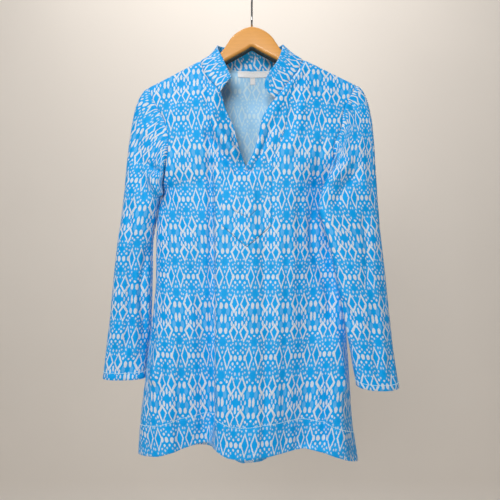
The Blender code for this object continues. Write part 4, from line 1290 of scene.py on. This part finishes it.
def print_group(colours):
    """The print as one node group: from the place on the cloth to its colour."""
    tree = bpy.data.node_groups.new("diamond_and_drop_print", "ShaderNodeTree")
    tree.interface.new_socket("Place", in_out="INPUT", socket_type="NodeSocketVector")
    tree.interface.new_socket("Colour", in_out="OUTPUT", socket_type="NodeSocketColor")
    wiring = Wiring(tree)
    start = wiring.add("NodeGroupInput")
    units = wiring.vector("MULTIPLY", start.outputs[0], (PRINT_WIDE, PRINT_HIGH, 0.0))
    given = {"Vector": units, "Scale": 0.45, "Detail": 1.0}
    wobble = wiring.add("ShaderNodeTexNoise", given, noise_dimensions="2D")
    shift = wiring.vector("MULTIPLY_ADD", wobble.outputs["Color"], (0.9, 0.9, 0.0), (-0.45, -0.45, 0.0))
    along, drop, _ = wiring.parts(wiring.vector("ADD", units, shift))
    turn = wiring.sum("FRACT", wiring.sum("MULTIPLY_ADD", along, 1.0 / PRINT_WIDE, 0.5))
    across = wiring.sum("MULTIPLY", wiring.sum("ABSOLUTE", wiring.sum("SUBTRACT", turn, 0.5)), PRINT_WIDE)
    fall = wiring.sum("FRACT", wiring.sum("MULTIPLY", drop, 1.0 / PRINT_HIGH))
    half = PRINT_HIGH / 2.0
    upper = wiring.sum("MULTIPLY", fall, half / UPPER_SHARE)
    lower = wiring.sum("MULTIPLY_ADD", fall, -half / (1.0 - UPPER_SHARE), half / (1.0 - UPPER_SHARE))
    down = wiring.sum("MINIMUM", upper, lower)
    place = wiring.add("ShaderNodeCombineXYZ", {0: across, 1: down}).outputs[0]

    bold = [seed_value(wiring, place, seed) for seed in SEEDS]
    for outside, inside in KITES:
        inner = wiring.sum("SUBTRACT", 2.0, kite_value(wiring, place, inside))
        bold.append(wiring.sum("MAXIMUM", kite_value(wiring, place, outside), inner))
    bold = wiring.ramp(nearest(wiring, bold), 0.76, 1.14, 1.0, 0.0)
    fine, pale, star = (
        wiring.ramp(nearest(wiring, [seed_value(wiring, place, seed) for seed in seeds]), inside, outside, most, 0.0)
        for seeds, inside, outside, most in (
            (FINE_SEEDS, 0.7, 1.2, 0.78), (PALE_SEEDS, 0.9, 1.1, 1.0), (STARS, 0.8, 1.2, 1.0),
        )
    )
    light = wiring.sum("MAXIMUM", bold, fine)

    band = wiring.ramp(wiring.sum("ABSOLUTE", wiring.sum("SUBTRACT", down, 13.0)), 4.0, 10.0, 1.0, 0.0)
    haze = wiring.sum("MULTIPLY", band, wiring.ramp(wiring.noise(units, 0.9), 0.40, 0.62, 0.0, 0.6))
    haze = wiring.sum("MULTIPLY", haze, wiring.sum("SUBTRACT", 1.0, star))
    ground = wiring.blend(haze, rgba(colours.ground), rgba(colours.haze))
    ground = wiring.blend(pale, ground, rgba(colours.pale))
    worn = wiring.ramp(wiring.noise(units, 0.25, 3.0), 0.3, 0.75, 1.0, 0.90)
    colour = wiring.blend(wiring.sum("MULTIPLY", light, worn), ground, rgba(colours.motif))
    wiring.add("NodeGroupOutput", {0: colour})
    return tree


def jersey_material(name, group, colours, wrong_side):
    """Smooth printed jersey. The wrong side shows the print washed out."""
    made, shader, wiring = new_material(name)
    place = wiring.on_cloth()
    colour = wiring.add("ShaderNodeGroup", {0: place}, node_tree=group).outputs[0]
    if wrong_side:
        colour = wiring.blend(WASHED_OUT, colour, rgba(colours.wrong_side))
    drift = wiring.ramp(wiring.noise(place, 3.0, 3.0), 0.3, 0.7, 0.94, 1.03)
    loops = wiring.vector("MULTIPLY", place, KNIT_LOOPS)
    rib = wiring.wave(loops, 0.314, 0.6)
    course = wiring.wave(loops, 0.314, bands_direction="Y")
    knit = wiring.sum("MULTIPLY_ADD", course.outputs["Fac"], 0.4, rib.outputs["Fac"])
    slub = wiring.noise(wiring.vector("MULTIPLY", place, (14.0, 60.0, 0.0)), 2.0, 3.0)
    wiring.fill(
        shader,
        {
            "Base Color": wiring.add("ShaderNodeHueSaturation", {"Value": drift, "Color": colour}).outputs[0],
            "Normal": wiring.bump(wiring.sum("MULTIPLY_ADD", slub, 1.5, knit), 0.22, 0.0003),
            "Roughness": wiring.ramp(slub, 0.3, 0.7, 0.42, 0.52),
            "Sheen Weight": 0.03,
            "Sheen Roughness": 0.4,
            "Specular IOR Level": 0.5,
            "Specular Tint": rgba(colours.shine),
        },
    )
    return made


def tape_material(colours):
    """Plain woven label tape."""
    made, shader, wiring = new_material("label_tape")
    place = wiring.on_cloth()
    weave = wiring.wave(place, 60.0, bands_direction="DIAGONAL")
    tone = wiring.ramp(wiring.noise(place, 30.0), 0.3, 0.7, 0.0, 0.5)
    wiring.fill(
        shader,
        {
            "Base Color": wiring.blend(tone, rgba(colours.tape), rgba((0.78, 0.77, 0.75))),
            "Normal": wiring.bump(weave.outputs["Fac"], 0.2, 0.0002),
            "Roughness": wiring.ramp(tone, 0.0, 0.5, 0.5, 0.65),
        },
    )
    return made


def plain_material(name, first, second, stretch, detail, tones, **more):
    """A finish whose colour changes softly from place to place, as do the other settings that are ranges."""
    made, shader, wiring = new_material(name)
    tone = wiring.noise(wiring.vector("MULTIPLY", wiring.in_frame(), stretch), 1.0, detail)
    given = {key: wiring.ramp(tone, *value) if isinstance(value, tuple) else value for key, value in more.items()}
    given["Base Color"] = wiring.blend(wiring.ramp(tone, *tones), rgba(first), rgba(second))
    wiring.fill(shader, given)
    return made


def thread_material(name, colour, dark):
    """Twisted sewing thread. The colours given to it also paint light on the seams: the pale thread paints a highlight,
    the dark thread paints shade.
    """
    made, shader, wiring = new_material(name)
    tone = wiring.noise(wiring.in_frame(), 900.0, 1.0)
    colour = wiring.blend(tone, rgba(colour), rgba(dark))
    wiring.fill(shader, {"Base Color": colour, "Roughness": wiring.ramp(tone, 0.3, 0.7, 0.55, 0.7)})
    return made


def wood_material(colours):
    """Pale lacquered wood with its grain along the bar."""
    made, shader, wiring = new_material("pale_wood")
    place = wiring.in_frame()
    broad = wiring.noise(wiring.vector("MULTIPLY", place, (5.0, 60.0, 42.0)), 1.4, 4.0, 0.55)
    along = wiring.vector("MULTIPLY", place, (8.0, 20.0, 60.0))
    rings = wiring.wave(along, 0.7, 5.0, bands_direction="Z", wave_profile="SAW")
    wiring.fill(rings, {"Detail": 3.0, "Detail Scale": 0.6})
    pores = wiring.noise(wiring.vector("MULTIPLY", place, (60.0, 900.0, 900.0)), 1.0)
    tone = wiring.sum("MULTIPLY_ADD", rings.outputs["Fac"], 0.25, wiring.sum("MULTIPLY", broad, 0.75))
    colour = wiring.blend(wiring.ramp(tone, 0.3, 0.7), rgba(colours.wood), rgba(colours.grain))
    wiring.fill(
        shader,
        {
            "Base Color": wiring.blend(wiring.ramp(pores, 0.62, 0.72, 0.0, 0.35), colour, rgba(colours.pore)),
            "Normal": wiring.bump(pores, 0.12, 0.0003),
            "Roughness": wiring.ramp(broad, 0.3, 0.7, 0.36, 0.5),
            "Coat Weight": 0.15,
        },
    )
    return made


class ClothSizes(bpy.types.PropertyGroup):
    """Sizes of the cloth and its print that a user may change."""

    repeat_wide: FloatProperty(
        name="Repeat width", description="Width of the print's repeat on the cloth, in mm", default=57.0, min=10.0
    )
    repeat_high: FloatProperty(
        name="Repeat height", description="Height of the print's repeat on the cloth, in mm", default=149.4, min=20.0
    )
    wall: FloatProperty(
        name="Cloth", description="Thickness of the cloth, in mm", default=CLOTH_WALL, min=0.3, max=2.0
    )
    floor: FloatProperty(
        name="Floor", description="Height of the floor in the frame", default=-2.2, unit="LENGTH", subtype="DISTANCE"
    )
    key_light: FloatProperty(
        name="Key light", description="Power of the large soft light in front", default=34.0, min=0.0, unit="POWER"
    )


class ClothColours(bpy.types.PropertyGroup):
    """Colours of the cloth, the hanger and the stage, in linear light."""

    ground: FloatVectorProperty(
        name="Ground", description="Blue of the cloth", default=(0.0, 0.32, 0.78), subtype="COLOR"
    )
    haze: FloatVectorProperty(
        name="Haze", description="Lighter blue between the dots", default=(0.06, 0.40, 0.80), subtype="COLOR"
    )
    pale: FloatVectorProperty(
        name="Pale seeds", description="Half-tone seeds beside the stars", default=(0.10, 0.40, 0.80), subtype="COLOR"
    )
    motif: FloatVectorProperty(
        name="Motifs", description="Off-white of the motifs", default=(0.66, 0.68, 0.73), subtype="COLOR"
    )
    wrong_side: FloatVectorProperty(
        name="Wrong side", description="Pale blue of the wrong side", default=(0.63, 0.87, 1.0), subtype="COLOR"
    )
    shine: FloatVectorProperty(
        name="Shine", description="Tint of the jersey's shine", default=(0.30, 0.80, 1.0), subtype="COLOR"
    )
    # Real thread colour, made pale enough that it also paints the highlight on the ridge of the stitched hem and cuffs
    thread: FloatVectorProperty(
        name="Thread", description="Pale blue sewing thread", default=(0.66, 0.90, 0.98), subtype="COLOR"
    )
    tape: FloatVectorProperty(name="Tape", description="White label tape", default=(0.86, 0.86, 0.87), subtype="COLOR")
    wood: FloatVectorProperty(
        name="Wood", description="Wood of the hanger", default=(0.735, 0.345, 0.075), subtype="COLOR"
    )
    grain: FloatVectorProperty(
        name="Grain", description="Darker grain of the wood", default=(0.69, 0.318, 0.068), subtype="COLOR"
    )
    pore: FloatVectorProperty(
        name="Pores", description="Pores of the wood", default=(0.45, 0.20, 0.06), subtype="COLOR"
    )
    chrome: FloatVectorProperty(name="Hook", description="Chromed wire", default=(0.46, 0.46, 0.47), subtype="COLOR")
    stage: FloatVectorProperty(
        name="Stage", description="Floor and wall", default=(0.78, 0.725, 0.665), subtype="COLOR"
    )


def scene_sizes():
    """The sizes that the panel shows."""
    return bpy.context.scene.tunic_sizes


def scene_colours():
    """The colours that the panel shows."""
    return bpy.context.scene.tunic_colours


def looks():
    """The cloth's two finishes, made once."""
    if "printed_jersey" not in bpy.data.materials:
        colours = scene_colours()
        group = print_group(colours)
        jersey_material("printed_jersey", group, colours, False)
        jersey_material("printed_jersey_inside", group, colours, True)
    return bpy.data.materials["printed_jersey"], bpy.data.materials["printed_jersey_inside"]


MADE = {}


def panels():
    """The panels' halves and surfaces, made once."""
    if "panels" not in MADE:
        MADE["panels"] = dense_panels()
    return MADE["panels"]


class TUNIC_OT_body(bpy.types.Operator):
    """Makes the front and the back, with the wrong side of the cloth inside"""

    bl_idname = "tunic.body"
    bl_label = "Front and back"

    def execute(self, context):
        """Makes both panels."""
        _, surfaces = panels()
        for name, flat in (("front", (0.58, 0.82)), ("back", (0.58, 0.84))):
            surface = surfaces[name]
            made = cloth_piece(name + "_of_body", surface, scene_sizes().wall, looks(), "print_cloth", name + "_panel")
            surface.area()
        return {"FINISHED"}


class TUNIC_OT_sleeves(bpy.types.Operator):
    """Makes the two set-in sleeves"""

    bl_idname = "tunic.sleeves"
    bl_label = "Sleeves"

    def execute(self, context):
        """Makes each sleeve as one sewn tube."""
        jobs = (
            ("left", LEFT_SLEEVE, FRONT_LEFT_ROWS, LEFT_FRONT_CREASES, LEFT_BACK_CREASES),
            ("right", RIGHT_SLEEVE, FRONT_RIGHT_ROWS, RIGHT_FRONT_CREASES, RIGHT_BACK_CREASES),
        )
        for side, *cut in jobs:
            surface = MADE[side] = sleeve_surface(side, *cut)
            made = cloth_piece(side + "_sleeve", surface, scene_sizes().wall, looks(), "print_cloth", "sleeve_" + side)
            surface.area()
        return {"FINISHED"}


class TUNIC_OT_collar(bpy.types.Operator):
    """Makes the stand collar, printed on both sides"""

    bl_idname = "tunic.collar"
    bl_label = "Collar"

    def execute(self, context):
        """Makes the collar band round the neck seam."""
        surface, length, high = collar_surface(panels()[0])
        made = cloth_piece("stand_collar", surface, COLLAR_WALL, looks()[:1] * 2, "print_cloth", "collar_band")
        surface.area()
        return {"FINISHED"}


class TUNIC_OT_placket(bpy.types.Operator):
    """Makes the pointed piece below the slit and the lap on it"""

    bl_idname = "tunic.placket"
    bl_label = "Placket"

    def execute(self, context):
        """Lays both pieces on the front."""
        halves, surfaces = panels()
        tree = tree_of(surfaces["front"])
        first = scene_sizes().wall / 2.0 + PLACKET_GAP + PLACKET_WALL / 2.0
        pieces = (
            ("placket", PLACKET_OUTER, first, "placket_box"),
            ("placket_lap", PLACKET_TONGUE, first + PLACKET_GAP + PLACKET_WALL, "placket_tongue"),
        )
        for name, piece, off, node in pieces:
            surface = MADE[name] = pointed_surface(piece, tree, off)
            if name == "placket":
                legs = [leg_surface(side, half, tree, off) for side, half in zip(SIGN, halves["front"])]
                surface = together([surface, *legs])
            made = cloth_piece(name, surface, PLACKET_WALL, looks(), "print_cloth", node)
            flat = ((piece["right"] - piece["left"]) * MM, np.ptp(surface.points[:, 2]) * MM)
            area = min(surface.area(), flat[0] * flat[1])
        return {"FINISHED"}


class TUNIC_OT_labels(bpy.types.Operator):
    """Makes the plain neck label and its tab"""

    bl_idname = "tunic.labels"
    bl_label = "Labels"

    def execute(self, context):
        """Hangs both tapes from the neck seam inside the back."""
        halves, surfaces = panels()
        seam, tree = neck_seam(halves), tree_of(surfaces["back"])
        tape = tape_material(scene_colours())
        off = scene_sizes().wall / 2.0 + LAYER_GAP + LABEL_WALL / 2.0
        for name, piece, node in (("neck_tape", NECK_LABEL, "neck_label"), ("tab_tape", SIZE_TAB, "size_tab")):
            surface = label_surface(piece, tree, seam, off)
            made = cloth_piece(name, surface, LABEL_WALL, (tape, tape), "label_tape", node)
        return {"FINISHED"}


class TUNIC_OT_stitching(bpy.types.Operator):
    """Makes the stitching of the hem, the cuffs and the placket"""

    bl_idname = "tunic.stitching"
    bl_label = "Stitching"

    def execute(self, context):
        """Sews along lines of the finished surfaces."""
        halves, surfaces = panels()
        colours, lift = scene_colours(), scene_sizes().wall / 2.0
        # The hem and cuff stitches are real; their pale colour also paints the highlight on the ridge of the turned-up
        # edge
        pale = thread_material("pale_thread_painted_highlight", colours.thread, [0.7 * c for c in colours.thread])
        # The placket stitches are real; their near-black colour also paints the shade in the seam's ditch along the
        # pointed edges
        dark = thread_material("dark_thread_painted_shade", (0.006, 0.035, 0.10), (0.003, 0.015, 0.05))
        turned = []
        for name, surface in surfaces.items():
            rows, columns = halves[name][0].shape[:2]
            place = np.full(2 * rows * columns, -1)
            place[surface.used] = np.arange(len(surface.used))
            left, right = place.reshape(2, rows, columns)[:, rows // 2 :]
            turned.append(("hem_stitches_" + name, surface, np.hstack([left, right[:, -2::-1]]), HEM_TURN))
        for side in SIGN:
            rows, columns = MADE[side].grid_shape
            numbers = np.arange(rows * columns).reshape(rows, columns)[rows // 2 :]
            numbers = np.hstack([numbers, numbers[:, :1]])
            turned.append(("cuff_stitches_" + side, MADE[side], numbers, CUFF_TURN[side]))
        jobs = []
        for name, surface, numbers, turn in turned:
            line, ups = level_line(surface, numbers, turn)
            jobs.append((name, line + ups * lift, ups, LONG_STITCH, pale))
        for name in ("placket", "placket_lap"):
            last = slice(-PLACKET_CELLS[0] - 1, None)
            line, ups = MADE[name].points[last], MADE[name].normals[last]
            line = line + (0.0, 0.0, 1.1) - ups * PLACKET_WALL * 0.2
            jobs.append((name + "_stitches", line, ups, FINE_STITCH, dark))
        for name, line, ups, stitch, look in jobs:
            on_body(make_object(name, *stitches(line, ups, *stitch), [look]), "print_cloth")
        return {"FINISHED"}


class TUNIC_OT_hanger(bpy.types.Operator):
    """Makes the wooden bar, its dark strip and the wire hook"""

    bl_idname = "tunic.hanger"
    bl_label = "Hanger"

    def execute(self, context):
        """Makes the three rigid pieces over their solids."""
        colours = scene_colours()
        strip = plain_material(
            "dark_strip", (0.010, 0.016, 0.014), (0.035, 0.055, 0.048), (160.0, 160.0, 160.0), 3.0, (0.35, 0.65),
            Roughness=(0.3, 0.7, 0.7, 0.9),
        )
        chrome = plain_material(
            "chromed_wire", colours.chrome, (0.45, 0.45, 0.46), (400.0, 400.0, 60.0), 3.0, (0.5, 0.8, 0.0, 0.4),
            Roughness=(0.3, 0.8, 0.12, 0.3), Metallic=1.0,
        )
        pieces = (
            ("wooden_bar", bar_rings(BAR_CUTS), wood_material(colours), "hanger_bar", "pale_wood"),
            ("bar_lining", strip_rings(BAR_CUTS), strip, "bar_strip", "dark_strip"),
            ("wire_hook", hook_rings(), chrome, "hanger_hook", "hook_wire"),
        )
        for name, rings, look, node, slot in pieces:
            made = on_body(make_object(name, *loft(rings), [look]), slot, node)
            if name == "bar_lining":
                made.data.shade_flat()
        return {"FINISHED"}


class TUNIC_OT_stage(bpy.types.Operator):
    """Makes the floor and wall, the lights and the camera"""

    bl_idname = "tunic.stage"
    bl_label = "Stage"

    def execute(self, context):
        """Sets up a plain pale room with soft light, seen from the photograph's angle."""
        sizes, colours = scene_sizes(), scene_colours()
        bend = np.radians(np.linspace(0.0, 90.0, 13))
        across = WALL_AT - SWEEP_RADIUS * (1.0 - np.sin(bend))
        height = sizes.floor + SWEEP_RADIUS * (1.0 - np.cos(bend))
        profile = [(FLOOR_FRONT, sizes.floor), *zip(across.tolist(), height.tolist()), (WALL_AT, WALL_TOP)]
        points = [(x, y, z) for y, z in profile for x in (-STAGE_HALF, STAGE_HALF)]
        faces = [(2 * k, 2 * k + 1, 2 * k + 3, 2 * k + 2) for k in range(len(profile) - 1)]
        mesh = bpy.data.meshes.new("sweep")
        mesh.from_pydata(points, [], faces)
        mesh.shade_smooth()
        shade = [0.97 * c for c in colours.stage]
        mesh.materials.append(
            plain_material("stage_grey", colours.stage, shade, (1.2, 1.2, 1.2), 2.0, (0.3, 0.7), Roughness=0.9)
        )
        add_object("sweep", mesh)
        for name, place, aim, size, share, tint in LIGHTS:
            lamp = bpy.data.lights.new(name, "AREA")
            lamp.size, lamp.energy, lamp.color = size, sizes.key_light * share, tint
            made = add_object(name, lamp)
            made.location = place
            made.rotation_euler = (Vector(aim) - Vector(place)).to_track_quat("-Z", "Y").to_euler()
            made.visible_camera = False
        world = bpy.data.worlds.new("soft_room")
        world.use_nodes = True
        sky = world.node_tree.nodes["Background"].inputs
        sky["Color"].default_value = (0.80, 0.79, 0.77, 1.0)
        sky["Strength"].default_value = 0.30
        bpy.context.scene.world = world
        camera = add_object("camera", bpy.data.cameras.new("camera"))
        camera.data.sensor_width = SENSOR
        camera.data.lens = SENSOR * CAMERA_AWAY / (IMAGE * PIXEL)
        camera.location = (CAMERA_SIDE, -CAMERA_AWAY, CAMERA_HIGH)
        camera.rotation_euler = (math.radians(90.0), 0.0, 0.0)
        bpy.context.scene.camera = camera
        bpy.context.scene.view_settings.view_transform = "Standard"
        return {"FINISHED"}


STEPS = (
    TUNIC_OT_body,
    TUNIC_OT_sleeves,
    TUNIC_OT_collar,
    TUNIC_OT_placket,
    TUNIC_OT_labels,
    TUNIC_OT_stitching,
    TUNIC_OT_hanger,
    TUNIC_OT_stage,
)


class TUNIC_PT_panel(bpy.types.Panel):
    """Lists the pieces and what a user may change"""

    bl_idname = "TUNIC_PT_panel"
    bl_label = "Tunic top"
    bl_space_type = "VIEW_3D"
    bl_region_type = "UI"
    bl_category = "Tunic"

    def draw(self, context):
        """Draws the buttons, sizes and colours."""
        for step in STEPS:
            self.layout.operator(step.bl_idname)
        for group in (context.scene.tunic_sizes, context.scene.tunic_colours):
            for name in group.bl_rna.properties.keys():
                if name not in ("rna_type", "name"):
                    self.layout.prop(group, name)


CLASSES = (ClothSizes, ClothColours, *STEPS, TUNIC_PT_panel)


def register():
    """Adds the classes and the two groups of settings."""
    for made in CLASSES:
        bpy.utils.register_class(made)
    bpy.types.Scene.tunic_sizes = PointerProperty(type=ClothSizes)
    bpy.types.Scene.tunic_colours = PointerProperty(type=ClothColours)


def unregister():
    """Takes them away again."""
    del bpy.types.Scene.tunic_colours
    del bpy.types.Scene.tunic_sizes
    for made in reversed(CLASSES):
        bpy.utils.unregister_class(made)


def main():
    register()
    for step in STEPS:
        area, name = step.bl_idname.split(".")
        getattr(getattr(bpy.ops, area), name)()


if __name__ == "__main__":
    main()
